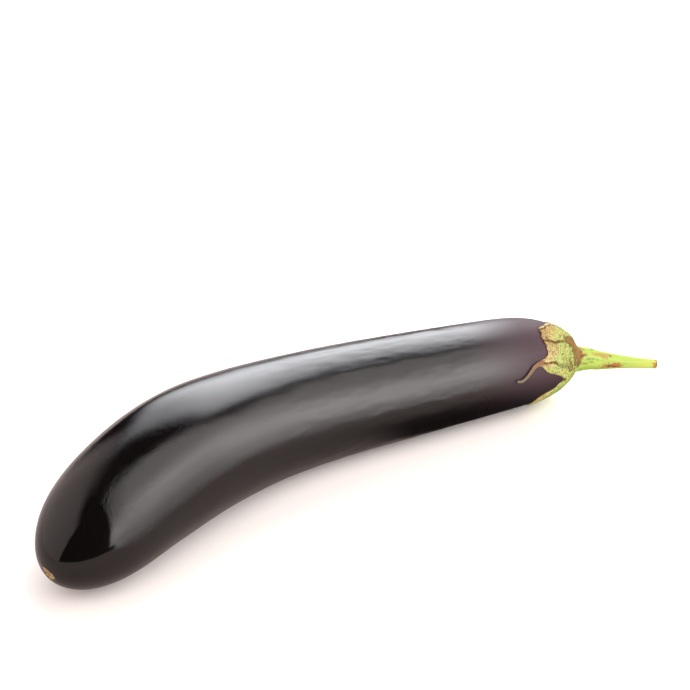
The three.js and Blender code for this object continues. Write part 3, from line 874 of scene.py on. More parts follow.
# brown of cork and dried edge, used too as painted shadow in the fold and in a notch
BARK_AND_SHADOW_BROWN = "#40240c"
FRESH_STOPS = ((0.0, CALYX_CREAM), (0.35, CALYX_STRAW), (0.62, CALYX_YELLOW), (1.0, CALYX_GREEN))
BLOTCH_SIZE = 4.0
MOTTLE_SIZE = 0.9
FLECK_SIZE = 0.55
LEATHER_DEPTH = 0.05
CALYX_LIGHT_DEPTH = 1.2  # how far light spreads inside, and next how it differs in red, green and blue
CALYX_LIGHT_SHARES = (0.6, 0.9, 0.25)

calyx_material, tree = new_material("leathery green calyx")
place = add(tree, "ShaderNodeTexCoord").outputs["Object"]
marks = {
    name: add(tree, "ShaderNodeAttribute", attribute_name=name).outputs["Fac"]
    for name in ("fresh", "cream", "stain", "deep_green", "scab", "scab_middle", "bark_and_painted_shadow")
}
blotches, mottle, flecks = (
    add(tree, "ShaderNodeTexNoise", {"Vector": place, "Scale": 1 / (size * MM), "Detail": detail})
    for size, detail in ((BLOTCH_SIZE, 3.0), (MOTTLE_SIZE, 3.0), (FLECK_SIZE, 2.0))
)
fresh_shift = add(tree, "ShaderNodeMapRange", {"Value": blotches, "To Min": -0.6, "To Max": 0.6})
fine_shift = add(tree, "ShaderNodeMapRange", {"Value": mottle, "To Min": -0.4, "To Max": 0.4})
fresh_wide = add(tree, "ShaderNodeMath", {0: marks["fresh"], 1: fresh_shift}, operation="ADD")
fresh_fine = add(tree, "ShaderNodeMath", {0: fresh_wide, 1: fine_shift}, operation="ADD")
leaf = add(tree, "ShaderNodeValToRGB", {"Fac": fresh_fine})
set_stops(leaf, [(position, linear(colour)) for position, colour in FRESH_STOPS])
deep_fleck = add(
    tree, "ShaderNodeMapRange", {"Value": mottle, "From Min": 0.60, "From Max": 0.72, "To Max": 0.7}
)
layers = add(tree, "ShaderNodeMix", {0: deep_fleck, 6: leaf, 7: linear(CALYX_DEEP)}, data_type="RGBA")
worn = add(tree, "ShaderNodeMapRange", {"Value": flecks, "To Min": 0.35, "To Max": 1.5})
scab_colour = add(
    tree,
    "ShaderNodeMix",
    {0: marks["scab_middle"], 6: linear(SCAB_DARK), 7: linear(SCAB_BROWN)},
    data_type="RGBA",
)
calyx_layers = (
    ("cream", linear(CALYX_PALE)),
    ("stain", linear(CALYX_RUST)),
    ("deep_green", linear(CALYX_DEEP)),
    ("scab", scab_colour),
    ("bark_and_painted_shadow", linear(BARK_AND_SHADOW_BROWN)),
)
for name, colour in calyx_layers:
    strength = add(
        tree, "ShaderNodeMath", {0: marks[name], 1: worn}, operation="MULTIPLY", use_clamp=True
    )
    layers = add(tree, "ShaderNodeMix", {0: strength, 6: layers, 7: colour}, data_type="RGBA")
corky = add(tree, "ShaderNodeMath", {0: marks["scab"], 1: marks["bark_and_painted_shadow"]}, operation="MAXIMUM")
leather = add(tree, "ShaderNodeBump", {"Distance": LEATHER_DEPTH * MM, "Height": mottle})
calyx_rough = add(tree, "ShaderNodeMapRange", {"Value": corky, "To Min": 0.5, "To Max": 0.85})
calyx_shader = add(
    tree,
    "ShaderNodeBsdfPrincipled",
    {
        "Base Color": layers,
        "Roughness": calyx_rough,
        "IOR": 1.42,
        "Subsurface Weight": 0.12,
        "Subsurface Radius": CALYX_LIGHT_SHARES,
        "Subsurface Scale": CALYX_LIGHT_DEPTH * MM,
        "Normal": leather,
    },
)
add(tree, "ShaderNodeOutputMaterial", {"Surface": calyx_shader})
calyx.data.materials.append(calyx_material)
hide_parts("calyx")
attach(calyx, "root")

# ---------------------------------------------------------------- calyx specks
# Corky specks, each a breathing pore or the stub of a hair, are scattered over the calyx.
# They are small raised scales of brown cork, thickest on the two lobes that dried first.

SPECK_DENSITY = 2.2  # a square millimetre, where they are thickest
SPECK_SPACING = 0.36
SPECK_SMALL = 0.14
SPECK_LARGE = 0.33
SPECK_FLATNESS = 0.35
SPECK_SEED = 4
SPECK_BROWN = "#5e3a1a"
SPECK_RUST = "#84562a"
SPECK_PATCH = 1.4  # the browns change on this scale

# Dead cork: matt and crumbly, with no highlight, in browns that change from speck to speck.
speck_material, tree = new_material("cork specks")
place = add(tree, "ShaderNodeTexCoord").outputs["Object"]
rusty = add(
    tree, "ShaderNodeTexNoise", {"Vector": place, "Scale": 1 / (SPECK_PATCH * MM), "Detail": 1.0}
)
speck_colour = add(
    tree, "ShaderNodeMix", {0: rusty, 6: linear(SPECK_BROWN), 7: linear(SPECK_RUST)}, data_type="RGBA"
)
speck_shader = add(
    tree, "ShaderNodeBsdfPrincipled", {"Base Color": speck_colour, "Roughness": 0.8, "IOR": 1.4}
)
add(tree, "ShaderNodeOutputMaterial", {"Surface": speck_shader})

scatter = new_tree(
    "specks over the calyx",
    (
        ("Spacing", "NodeSocketFloat", SPECK_SPACING * MM),
        ("Density", "NodeSocketFloat", SPECK_DENSITY / MM**2),
        ("Smallest", "NodeSocketFloat", SPECK_SMALL * MM),
        ("Largest", "NodeSocketFloat", SPECK_LARGE * MM),
        ("Flatness", "NodeSocketFloat", SPECK_FLATNESS),
        ("Seed", "NodeSocketInt", SPECK_SEED),
        ("Cork", "NodeSocketMaterial", None),
    ),
)
given = add(scatter, "NodeGroupInput")
where_specked = add(scatter, "GeometryNodeInputNamedAttribute", {"Name": "specked"}, data_type="FLOAT")
spots = add(
    scatter,
    "GeometryNodeDistributePointsOnFaces",
    {
        "Mesh": given.outputs["Geometry"],
        "Distance Min": given.outputs["Spacing"],
        "Density Max": given.outputs["Density"],
        "Density Factor": where_specked,
        "Seed": given.outputs["Seed"],
    },
    distribute_method="POISSON",
)
flake = add(scatter, "GeometryNodeMeshIcoSphere", {"Radius": 1.0, "Subdivisions": 1})
speck_size = add(
    scatter,
    "FunctionNodeRandomValue",
    {2: given.outputs["Smallest"], 3: given.outputs["Largest"], "Seed": given.outputs["Seed"]},
    data_type="FLOAT",
)
squash = add(scatter, "ShaderNodeCombineXYZ", {0: 1.0, 1: 1.0, 2: given.outputs["Flatness"]})
flake_size = add(scatter, "ShaderNodeVectorMath", {0: squash, "Scale": speck_size}, operation="SCALE")
speckled = add(
    scatter,
    "GeometryNodeInstanceOnPoints",
    {
        "Points": spots.outputs["Points"],
        "Instance": flake,
        "Rotation": spots.outputs["Rotation"],
        "Scale": flake_size,
    },
)
whole = add(scatter, "GeometryNodeRealizeInstances", {"Geometry": speckled})
clad = add(scatter, "GeometryNodeSetMaterial", {"Geometry": whole, "Material": given.outputs["Cork"]})
add(scatter, "NodeGroupOutput", {"Geometry": clad})

specks = linked("calyx_specks", calyx.data.copy())
grow(specks, scatter, {"Cork": speck_material})
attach(specks, "root")

# ---------------------------------------------------------------- withered lobe tip
# The longest lobe ran out in a narrow strip that withered. It dried to a pale, rolled ribbon,
# orange-brown where it leaves the lobe, and lies curled over the skin with its tip hooked back.

TENDRIL_ROUTE = (  # angle, reach, height over the skin
    (155.2, 32.6, 0.1), (154.6, 34.4, 0.2), (155.2, 36.2, 0.4), (157.2, 38.8, 0.5), (162.5, 41.2, 0.5),
    (168, 43.6, 0.45), (171.8, 46.4, 0.5), (170, 49.2, 0.9),
)  # fmt: skip
TENDRIL_WIDTHS = (2.4, 1.8, 1.1)  # at its root, its middle and its tip
TENDRIL_MIDDLE = 0.4  # share of its length
TENDRIL_END_SHARE = 0.94  # the tip rounds off over the rest
TENDRIL_TIP_WIDTH = 0.35
TENDRIL_STEPS = 150
TENDRIL_SIDES = 28
TENDRIL_FLATNESS = 0.34
TENDRIL_GUTTER = 0.42
FIBRE_SIZE = 0.6
FIBRE_DEPTH = 0.05
TENDRIL_PALE = "#6c5438"
TENDRIL_GREY = "#5c5844"
TENDRIL_RUST = "#7a3e10"

# One tree sweeps both the strip and the stalk: a section, ribbed or flattened, along a path.
sweep = new_tree(
    "section along a path",
    (
        ("Sides", "NodeSocketInt", 32),
        ("Flatness", "NodeSocketFloat", 1.0),
        ("Gutter", "NodeSocketFloat", 0.0),
        ("Ribs", "NodeSocketFloat", 0.0),
        ("Rib Depth", "NodeSocketFloat", 0.0),
        ("Rib Fade", "NodeSocketFloat", 0.0),
        ("Finish", "NodeSocketMaterial", None),
    ),
)
given = add(sweep, "NodeGroupInput")
path = add(sweep, "GeometryNodeMeshToCurve", {"Mesh": given.outputs["Geometry"]})
facing = add(sweep, "GeometryNodeInputNamedAttribute", {"Name": "outward"}, data_type="FLOAT_VECTOR")
faced = add(sweep, "GeometryNodeSetCurveNormal", {"Curve": path, "Normal": facing}, mode="FREE")
circle = add(
    sweep, "GeometryNodeCurvePrimitiveCircle", {"Resolution": given.outputs["Sides"], "Radius": 1.0}
)
spot = add(sweep, "ShaderNodeSeparateXYZ", {0: add(sweep, "GeometryNodeInputPosition")})
turn = add(sweep, "ShaderNodeMath", {0: spot.outputs[1], 1: spot.outputs[0]}, operation="ARCTAN2")
turned = add(
    sweep,
    "GeometryNodeStoreNamedAttribute",
    {"Geometry": circle, "Name": "turn", "Value": turn},
    data_type="FLOAT",
    domain="POINT",
)
flat = add(
    sweep, "ShaderNodeMath", {0: spot.outputs[0], 1: given.outputs["Flatness"]}, operation="MULTIPLY"
)
bow = add(sweep, "ShaderNodeMath", {0: spot.outputs[1], 1: spot.outputs[1]}, operation="MULTIPLY")
rolled = add(
    sweep, "ShaderNodeMath", {0: bow, 1: given.outputs["Gutter"], 2: flat}, operation="MULTIPLY_ADD"
)
section_place = add(sweep, "ShaderNodeCombineXYZ", {0: rolled, 1: spot.outputs[1], 2: 0.0})
section = add(sweep, "GeometryNodeSetPosition", {"Geometry": turned, "Position": section_place})
half_width = add(sweep, "GeometryNodeInputNamedAttribute", {"Name": "half_width"}, data_type="FLOAT")
swept = add(
    sweep,
    "GeometryNodeCurveToMesh",
    {"Curve": faced, "Profile Curve": section, "Scale": half_width, "Fill Caps": True},
)
turn_there = add(sweep, "GeometryNodeInputNamedAttribute", {"Name": "turn"}, data_type="FLOAT")
share_there = add(sweep, "GeometryNodeInputNamedAttribute", {"Name": "share"}, data_type="FLOAT")
rib_turn = add(sweep, "ShaderNodeMath", {0: turn_there, 1: given.outputs["Ribs"]}, operation="MULTIPLY")
rib_wave = add(sweep, "ShaderNodeMath", {0: rib_turn}, operation="COSINE")
lost = add(
    sweep, "ShaderNodeMath", {0: share_there, 1: given.outputs["Rib Fade"]}, operation="MULTIPLY"
)
kept = add(sweep, "ShaderNodeMath", {0: 1.0, 1: lost}, operation="SUBTRACT")
deep = add(sweep, "ShaderNodeMath", {0: kept, 1: given.outputs["Rib Depth"]}, operation="MULTIPLY")
sized = add(sweep, "ShaderNodeMath", {0: deep, 1: half_width}, operation="MULTIPLY")
raised = add(sweep, "ShaderNodeMath", {0: sized, 1: rib_wave}, operation="MULTIPLY")
rib_out = add(
    sweep,
    "ShaderNodeVectorMath",
    {0: add(sweep, "GeometryNodeInputNormal"), "Scale": raised},
    operation="SCALE",
)
ribbed = add(sweep, "GeometryNodeSetPosition", {"Geometry": swept, "Offset": rib_out})
smooth = add(sweep, "GeometryNodeSetShadeSmooth", {"Geometry": ribbed, "Shade Smooth": True})
whole = add(sweep, "GeometryNodeRealizeInstances", {"Geometry": smooth})
clad = add(sweep, "GeometryNodeSetMaterial", {"Geometry": whole, "Material": given.outputs["Finish"]})
add(sweep, "NodeGroupOutput", {"Geometry": clad})


def path_piece(name, points, half_widths, outward, shares):
    """A line of points, given in millimetres, that the sweep tree turns into a body."""
    mesh = bpy.data.meshes.new(name)
    steps = [(i, i + 1) for i in range(len(points) - 1)]
    mesh.from_pydata(((points + to_frame) * MM).tolist(), steps, [])
    store(mesh, "half_width", half_widths * MM)
    store(mesh, "share", shares)
    store(mesh, "outward", outward)
    return linked(name, mesh)


def spline(points, count):
    """A Catmull-Rom curve through a few points, as count points evenly spaced in parameter."""
    points = np.array(points, float)
    padded = np.concatenate([[2 * points[0] - points[1]], points, [2 * points[-1] - points[-2]]])
    t = np.linspace(0, len(points) - 1, count)
    i = np.minimum(t.astype(int), len(points) - 2)
    f = (t - i)[:, None]
    a, b, c, d = (padded[i + k] for k in range(4))
    return b + f / 2 * ((c - a) + f * ((2 * a - 5 * b + 4 * c - d) + f * (3 * (b - c) + d - a)))


strip = spline(TENDRIL_ROUTE, TENDRIL_STEPS)
strip_share = np.linspace(0.0, 1.0, TENDRIL_STEPS)
strip_points = skin(station_at(strip[:, 1]), np.radians(strip[:, 0]), strip[:, 2])
strip_out = strip_points - skin(station_at(strip[:, 1]), np.radians(strip[:, 0]), strip[:, 2] - 1.0)
strip_width = np.interp(strip_share, (0.0, TENDRIL_MIDDLE, 1.0), TENDRIL_WIDTHS)
strip_end = np.clip((1 - strip_share) / (1 - TENDRIL_END_SHARE), 0.0, 1.0)
strip_width = np.maximum(strip_width * np.sqrt(1 - (1 - strip_end) ** 2), TENDRIL_TIP_WIDTH)

# Withered leaf: dry, matt and fibrous. It is rusty at its root, pale along its edges and beyond, and
# grey at its tip.
tendril_material, tree = new_material("withered leaf strip")
place = add(tree, "ShaderNodeTexCoord").outputs["Object"]
share = add(tree, "ShaderNodeAttribute", attribute_name="share").outputs["Fac"]
fibres = add(
    tree, "ShaderNodeTexNoise", {"Vector": place, "Scale": 1 / (FIBRE_SIZE * MM), "Detail": 3.0}
)
fibre_shift = add(tree, "ShaderNodeMapRange", {"Value": fibres, "To Min": -0.25, "To Max": 0.25})
pale_at = add(tree, "ShaderNodeMath", {0: share, 1: fibre_shift}, operation="ADD")
paleness = add(
    tree,
    "ShaderNodeMapRange",
    {"Value": pale_at, "From Min": 0.1, "From Max": 0.55},
    interpolation_type="SMOOTHSTEP",
)
turn = add(tree, "ShaderNodeAttribute", attribute_name="turn").outputs["Fac"]
aside = add(tree, "ShaderNodeMath", {0: turn}, operation="SINE")
aside = add(tree, "ShaderNodeMath", {0: aside}, operation="ABSOLUTE")
edging = add(
    tree,
    "ShaderNodeMapRange",
    {"Value": aside, "From Min": 0.45, "From Max": 0.85},
    interpolation_type="SMOOTHSTEP",
)
paler = add(tree, "ShaderNodeMath", {0: paleness, 1: edging}, operation="MAXIMUM")
greyness = add(tree, "ShaderNodeMapRange", {"Value": pale_at, "From Min": 0.6, "From Max": 0.95})
paled = add(
    tree,
    "ShaderNodeMix",
    {0: greyness, 6: linear(TENDRIL_PALE), 7: linear(TENDRIL_GREY)},
    data_type="RGBA",
)
strip_colour = add(
    tree, "ShaderNodeMix", {0: paler, 6: linear(TENDRIL_RUST), 7: paled}, data_type="RGBA"
)
strip_bump = add(tree, "ShaderNodeBump", {"Distance": FIBRE_DEPTH * MM, "Height": fibres})
strip_shader = add(
    tree,
    "ShaderNodeBsdfPrincipled",
    {"Base Color": strip_colour, "Roughness": 0.6, "IOR": 1.42, "Normal": strip_bump},
)
add(tree, "ShaderNodeOutputMaterial", {"Surface": strip_shader})

tendril = path_piece("calyx_withered_tip", strip_points, strip_width / 2, strip_out, strip_share)
grow(
    tendril,
    sweep,
    {
        "Sides": TENDRIL_SIDES,
        "Flatness": TENDRIL_FLATNESS,
        "Gutter": TENDRIL_GUTTER,
        "Finish": tendril_material,
    },
)
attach(tendril, "root")

# ---------------------------------------------------------------- stalk
# The stalk is a woody, ribbed stem that widens into the calyx and tapers to where it was cut.
# It is fresh lime green, with an orange graze on top, a brown bruise below and a browned cut end.

STALK_LENGTH = 37.2
STALK_TIP_RADIUS = 2.1
STALK_TAPER = 1.7  # a power: above 1, it widens mostly near its foot
STALK_SAG = 9.0  # degrees, reached over the next share of its length
SAG_SHARE = 0.3
STALK_RIBS = 7.0
STALK_RIB_DEPTH = 0.03
STALK_RIB_FADE = 0.5  # share of their depth that the ribs lose towards the cut
STALK_SINK = 1.0  # its foot grows out of the calyx, this far below the seat
STALK_STEPS = 150
STALK_SIDES = 112
CUT_ROUNDING = 0.5
CUT_STEPS = 8
STALK_LIME = "#95ad44"
STALK_YELLOW = "#a8b04a"
STALK_DEEP = "#6a7f34"
GRAZE_ORANGE = "#9a7836"
BRUISE_BROWN = "#8e5618"
CORE_DARK = "#4e3013"
CUT_BROWN = "#7d552c"
GROOVE_SIZE = 0.5
GROOVE_LENGTH = 14.0
GROOVE_DEPTH = 0.12
PATCH_SIZE = 5.0
STALK_LIGHT_DEPTH = 1.2  # how far light spreads inside, and next how it differs in red, green and blue
STALK_LIGHT_SHARES = (0.7, 1.0, 0.2)
# Marks on the stalk: kind, share of its length, angle in degrees, half length and half width.
STALK_MARKS = (
    ("graze", 0.27, 122, 3.4, 1.0),
    ("graze", 0.20, 126, 1.6, 0.7),
    ("graze", 0.37, 116, 1.4, 0.8),
    ("core", 0.385, 117, 0.7, 0.45),
    ("bruise", 0.41, 189, 4.6, 1.25),
    ("bruise", 0.31, 196, 2.0, 0.7),
    ("core", 0.37, 189, 1.6, 0.45),
    ("core", 0.45, 192, 1.1, 0.3),
    ("bruise", 0.0, 138, 1.3, 2.6),
    ("bruise", 0.0, 112, 1.5, 2.4),
    ("bruise", 0.03, 133, 1.4, 0.7),
    ("bruise", 0.985, 80, 0.7, 1.5),
    ("bruise", 0.975, 165, 1.2, 1.3),
    ("bruise", 0.99, 240, 0.8, 1.6),
    ("core", 0.99, 150, 0.5, 0.7),
    ("core", 0.0, 140, 1.5, 0.5),
    ("core", 0.0, 118, 1.3, 0.4),
    ("fleck", 0.10, 154, 1.0, 0.4),
    ("fleck", 0.165, 151, 1.7, 0.4),
    ("fleck", 0.06, 176, 1.3, 0.45),
    ("fleck", 0.13, 172, 1.0, 0.35),
    ("core", 0.15, 95, 0.6, 0.3),
    ("bruise", 0.62, 20, 3.0, 0.6),
    ("fleck", 0.45, 330, 2.0, 0.4),
    ("graze", 0.30, 275, 2.6, 0.5),
)
STALK_LAYERS = (
    ("fleck", STALK_DEEP),
    ("graze", GRAZE_ORANGE),
    ("bruise", BRUISE_BROWN),
    ("core", CORE_DARK),
)
MARK_WANDER = ((0.35, 1.6, 21),)  # strength, grain size in millimetres, seed
MARK_REACH = 1.6  # half sizes from its middle at which a mark has faded out
CUT_BROWNING = (1.6, 0.6)  # roundings from the cut, between which the stalk turns brown
FRECKLE_SIZE = 0.5  # brown freckles along its underside, near its foot
FRECKLED_STRENGTH = 0.4
FRECKLED_DEGREES = (160.0, 250.0)
FRECKLED_SOFTNESS = 30.0
FRECKLED_END = 0.62  # shares of the length, over the last of which they thin out
FRECKLED_FADE = 0.2

neck_heading = heading(np.array(FRUIT_LENGTH))
stalk_along, stalk_across = along(neck_heading), across(neck_heading)
stalk_root = neck_pole + stalk_along * (SEAT_HEIGHT + GAP) - UP * STALK_DROP
body_share = np.linspace(-STALK_SINK / STALK_LENGTH, 1 - CUT_ROUNDING / STALK_LENGTH, STALK_STEPS)
cut_turn = np.linspace(0.0, np.pi / 2, CUT_STEPS + 1)[1:]
end_share = 1 - CUT_ROUNDING / STALK_LENGTH * (1 - np.sin(cut_turn))
stalk_share = np.concatenate([body_share, end_share])
stalk_sag = np.radians(STALK_SAG) * ease(stalk_share / SAG_SHARE)
stalk_run = STALK_LENGTH * stalk_share
stalk_points = (
    stalk_root
    + stalk_along * (stalk_run * np.cos(stalk_sag))[:, None]
    - UP * (stalk_run * np.sin(stalk_sag))[:, None]
)
stalk_radius = STALK_TIP_RADIUS + (STALK_BASE_RADIUS - STALK_TIP_RADIUS) * (
    1 - np.clip(stalk_share, 0.0, 1.0)
) ** STALK_TAPER
stalk_radius[STALK_STEPS:] -= CUT_ROUNDING * (1 - np.cos(cut_turn))
stalk_up = stalk_along * np.sin(stalk_sag)[:, None] + UP * np.cos(stalk_sag)[:, None]

# Fresh stalk: a firm, barely moist green skin. It lets some light in, has a broad soft sheen, and is
# finely grooved lengthways.
stalk_material, tree = new_material("fresh ribbed stalk")
place = add(tree, "ShaderNodeTexCoord").outputs["Object"]
share = add(tree, "ShaderNodeAttribute", attribute_name="share").outputs["Fac"]
laid_out = add(tree, "ShaderNodeAttribute", attribute_name="laid_out").outputs["Vector"]
marks = {
    name: add(tree, "ShaderNodeAttribute", attribute_name=name).outputs["Fac"]
    for name in ("graze", "bruise", "fleck", "core", "freckled")
}
groove_place = add(
    tree,
    "ShaderNodeVectorMath",
    {0: laid_out, 1: (1 / GROOVE_LENGTH, 1 / GROOVE_SIZE, 1 / GROOVE_SIZE)},
    operation="MULTIPLY",
)
grooves = add(tree, "ShaderNodeTexNoise", {"Vector": groove_place, "Scale": 1.0, "Detail": 3.0})
patches = add(
    tree, "ShaderNodeTexNoise", {"Vector": place, "Scale": 1 / (PATCH_SIZE * MM), "Detail": 2.0}
)
yellowing = add(
    tree,
    "ShaderNodeMapRange",
    {"Value": share, "From Min": 0.45, "From Max": 1.0},
    interpolation_type="SMOOTHSTEP",
)
fresh = add(
    tree,
    "ShaderNodeMix",
    {0: yellowing, 6: linear(STALK_LIME), 7: linear(STALK_YELLOW)},
    data_type="RGBA",
)
shade = add(
    tree, "ShaderNodeMapRange", {"Value": grooves, "From Min": 0.52, "From Max": 0.75, "To Max": 0.6}
)
striped = add(tree, "ShaderNodeMix", {0: shade, 6: fresh, 7: linear(STALK_DEEP)}, data_type="RGBA")
worn = add(tree, "ShaderNodeMapRange", {"Value": patches, "To Min": 0.55, "To Max": 1.25})
freckles = add(
    tree, "ShaderNodeTexNoise", {"Vector": place, "Scale": 1 / (FRECKLE_SIZE * MM), "Detail": 1.0}
)
freckle = add(tree, "ShaderNodeMapRange", {"Value": freckles, "From Min": 0.54, "From Max": 0.66})
freckled = add(
    tree, "ShaderNodeMath", {0: marks["freckled"], 1: freckle}, operation="MULTIPLY", use_clamp=True
)
layers = add(
    tree, "ShaderNodeMix", {0: freckled, 6: striped, 7: linear(BRUISE_BROWN)}, data_type="RGBA"
)
for mark, colour in STALK_LAYERS:
    strength = add(
        tree, "ShaderNodeMath", {0: marks[mark], 1: worn}, operation="MULTIPLY", use_clamp=True
    )
    layers = add(tree, "ShaderNodeMix", {0: strength, 6: layers, 7: linear(colour)}, data_type="RGBA")
cut = add(
    tree,
    "ShaderNodeMapRange",
    {
        "Value": share,
        "From Min": 1 - CUT_BROWNING[0] * CUT_ROUNDING / STALK_LENGTH,
        "From Max": 1 - CUT_BROWNING[1] * CUT_ROUNDING / STALK_LENGTH,
    },
)
stalk_colour = add(tree, "ShaderNodeMix", {0: cut, 6: layers, 7: linear(CUT_BROWN)}, data_type="RGBA")
stalk_bump = add(tree, "ShaderNodeBump", {"Distance": GROOVE_DEPTH * MM, "Height": grooves})
stalk_shader = add(
    tree,
    "ShaderNodeBsdfPrincipled",
    {
        "Base Color": stalk_colour,
        "Roughness": 0.45,
        "IOR": 1.42,
        "Subsurface Weight": 0.15,
        "Subsurface Radius": STALK_LIGHT_SHARES,
        "Subsurface Scale": STALK_LIGHT_DEPTH * MM,
        "Normal": stalk_bump,
    },
)
add(tree, "ShaderNodeOutputMaterial", {"Surface": stalk_shader})

stalk = path_piece("stalk", stalk_points, stalk_radius, stalk_up, stalk_share)
grow(
    stalk,
    sweep,
    {
        "Sides": STALK_SIDES,
        "Ribs": STALK_RIBS,
        "Rib Depth": STALK_RIB_DEPTH,
        "Rib Fade": STALK_RIB_FADE,
        "Finish": stalk_material,
    },
)

# The marks are laid out over the finished stalk, along and round it.
count = len(stalk.data.vertices)
stalk_vertices = np.empty(count * 3)
stalk.data.vertices.foreach_get("co", stalk_vertices)
stalk_vertices = stalk_vertices.reshape(-1, 3) / MM - to_frame
vertex_share = np.empty(count)
stalk.data.attributes["share"].data.foreach_get("value", vertex_share)
centre = np.stack([np.interp(vertex_share, stalk_share, stalk_points[:, k]) for k in range(3)], axis=-1)
off_axis = stalk_vertices - centre
vertex_angle = np.arctan2(off_axis @ UP, off_axis @ stalk_across)
vertex_radius = np.linalg.norm(off_axis, axis=-1)
level_way = vertex_radius * np.cos(vertex_angle)
upright_way = vertex_radius * np.sin(vertex_angle)
stalk_layout = np.stack([vertex_share * STALK_LENGTH, level_way, upright_way], axis=-1)
ragged = wandering(stalk_vertices, MARK_WANDER)
mark_strength = {kind: np.zeros(count) for kind in ("graze", "bruise", "fleck", "core")}
for kind, at_share, at_degrees, half_length, half_wide in STALK_MARKS:
    lengthways = (vertex_share - at_share) * STALK_LENGTH / half_length
    turned_by = (vertex_angle - np.radians(at_degrees) + np.pi) % (2 * np.pi) - np.pi
    crossways = turned_by * vertex_radius / half_wide
    mark_strength[kind] = np.maximum(
        mark_strength[kind], ease(MARK_REACH * ragged - np.hypot(lengthways, crossways))
    )
round_stalk = np.degrees(vertex_angle) % 360
below = ease((round_stalk - FRECKLED_DEGREES[0]) / FRECKLED_SOFTNESS)
below = below * ease((FRECKLED_DEGREES[1] - round_stalk) / FRECKLED_SOFTNESS)
near_foot = ease((FRECKLED_END - vertex_share) / FRECKLED_FADE)
mark_strength["freckled"] = FRECKLED_STRENGTH * below * near_foot
for kind, strength in mark_strength.items():
    store(stalk.data, kind, strength)
store(stalk.data, "laid_out", stalk_layout)
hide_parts("stem")
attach(stalk, "root")

# ---------------------------------------------------------------- studio
# A plain pale floor under three softboxes, whose mirror images draw the soft bands along the waxed skin,
# and a fourth that lights the front and isn't mirrored. A grey sheet over the floor, a glowing card, a
# black flag and a fine net shape what the skin mirrors from below, and the lens sees none of them.

FLOOR_REACH = 9000.0
FLOOR_PALE = "#f4f0ed"
SHEET_GREY = "#b0a4a0"  # darker than the overexposed floor that the lens sees
SHEET_MIDDLE = (-100.0, 150.0)
SHEET_RADIUS = 420.0
SHEET_FADE = 110.0
SHEET_HEIGHT = 0.3
WORLD_DARK = 0.012  # the air's glow in mirror images, and next its glow on what is matt
WORLD_FILL = 0.5
WORLD_WARM = "#fff8f4"
BACKDROP_PALE = 1.0  # the air's glow that the lens sees
LENS_PIXELS = 1450.0  # the focal length, in picture pixels
PICTURE_PIXELS = 690.0
SENSOR = 36.0
CAMERA_PLACE = (-294.6, -406.4, 343.4)
CAMERA_BEARING = 35.71  # degrees from +Y towards +X
CAMERA_TILT = 30.0  # degrees below level
SOFTBOX_DISTANCE = 1300.0
SOFTBOX_GRID = 48
# Each softbox is a cloth square on to a bearing and a height in degrees. Its corners (lower left, lower
# right, upper right, upper left) are in millimetres on its own plane, and its edges fade over these
# shares of it (left, right, bottom, top). Its glow rises from its rim to its hot middle, which has a
# place, a turn, and a spread lengthways, above and below.
SOFTBOXES = (
    {
        "name": "softbox_behind",
        "bearing": 50,
        "height": 30,
        "corners": ((-1230, -800), (800, -800), (760, 950), (-850, 720)),
        "fades": (0.14, 0.22, 0.39, 0.09),
        "rim": 2.0,
        "middle": 8.0,
        "middle_at": (-60, 110),
        "spread": (800, 430, 600),
        "turn": 50,
        "tint": "#fafbff",
        "mirrored": True,
    },
    {
        "name": "softbox_right",
        "bearing": 135,
        "height": 25,
        "corners": ((-660, -640), (1540, -640), (590, 1920), (-450, 1920)),
        "fades": (0.07, 0.07, 0.02, 0.06),
        "rim": 2.4,
        "middle": 6.8,
        "middle_at": (350, -50),
        "spread": (800, 450, 450),
        "turn": 0,
        "tint": "#fff8f6",
        "mirrored": True,
    },
    {
        "name": "softbox_left",
        "bearing": -55,
        "height": 35,
        "corners": ((-2050, -1300), (2480, -1300), (1250, 1150), (-1050, 1000)),
        "fades": (0.05, 0.08, 0.1, 0.25),
        "rim": 1.0,
        "middle": 1.3,
        "middle_at": (0, -50),
        "spread": (900, 700, 700),
        "turn": 0,
        "tint": "#ffebe8",
        "mirrored": True,
    },
    {
        "name": "softbox_front",
        "bearing": 225,
        "height": 50,
        "corners": ((-500, -500), (500, -500), (500, 500), (-500, 500)),
        "fades": (0.2, 0.2, 0.2, 0.2),
        "rim": 3.4,
        "middle": 3.4,
        "middle_at": (0, 0),
        "spread": (500, 500, 500),
        "turn": 0,
        "tint": "#fffaf6",
        "mirrored": False,
    },
)
# The card lies on the floor in front and carries the right softbox's image below the horizon. Its
# corners are on the floor: beside the blossom end, beside the neck, and the two far ones.
CARD_CORNERS = ((-112, -96), (190, -62), (1150, -760), (40, -1470))
CARD_FADES = (0.05, 0.05, 0.075, 0.05)
CARD_NEAR = 1.6  # its glow beside the fruit, and next the glow further out
CARD_FAR = 3.4
CARD_NEAR_SHARE = 0.25
CARD_HEIGHT = 0.5
# A net stands beside the blossom half and thins the right softbox's image there. It is upright, over a
# line on the floor, between two heights.
NET_LINE = ((-118, -129), (14, -72))
NET_HEIGHTS = (6, 104)
NET_FADES = (0.3, 0.22, 0.2, 0.34)
NET_THINNING = 0.36
# A black flag lies under the neck half, whose lower flank mirrors it. It is dark beside the fruit and
# fades away from it. Its corners are on the floor: two beside the fruit, and the two in front of them.
FLAG_CORNERS = ((-8, -8), (128, -14), (128, -66), (-8, -58))
FLAG_FADES = (0.3, 0.02, 0.02, 0.75)
FLAG_DARKNESS = 0.94
FLAG_HEIGHT = 0.7


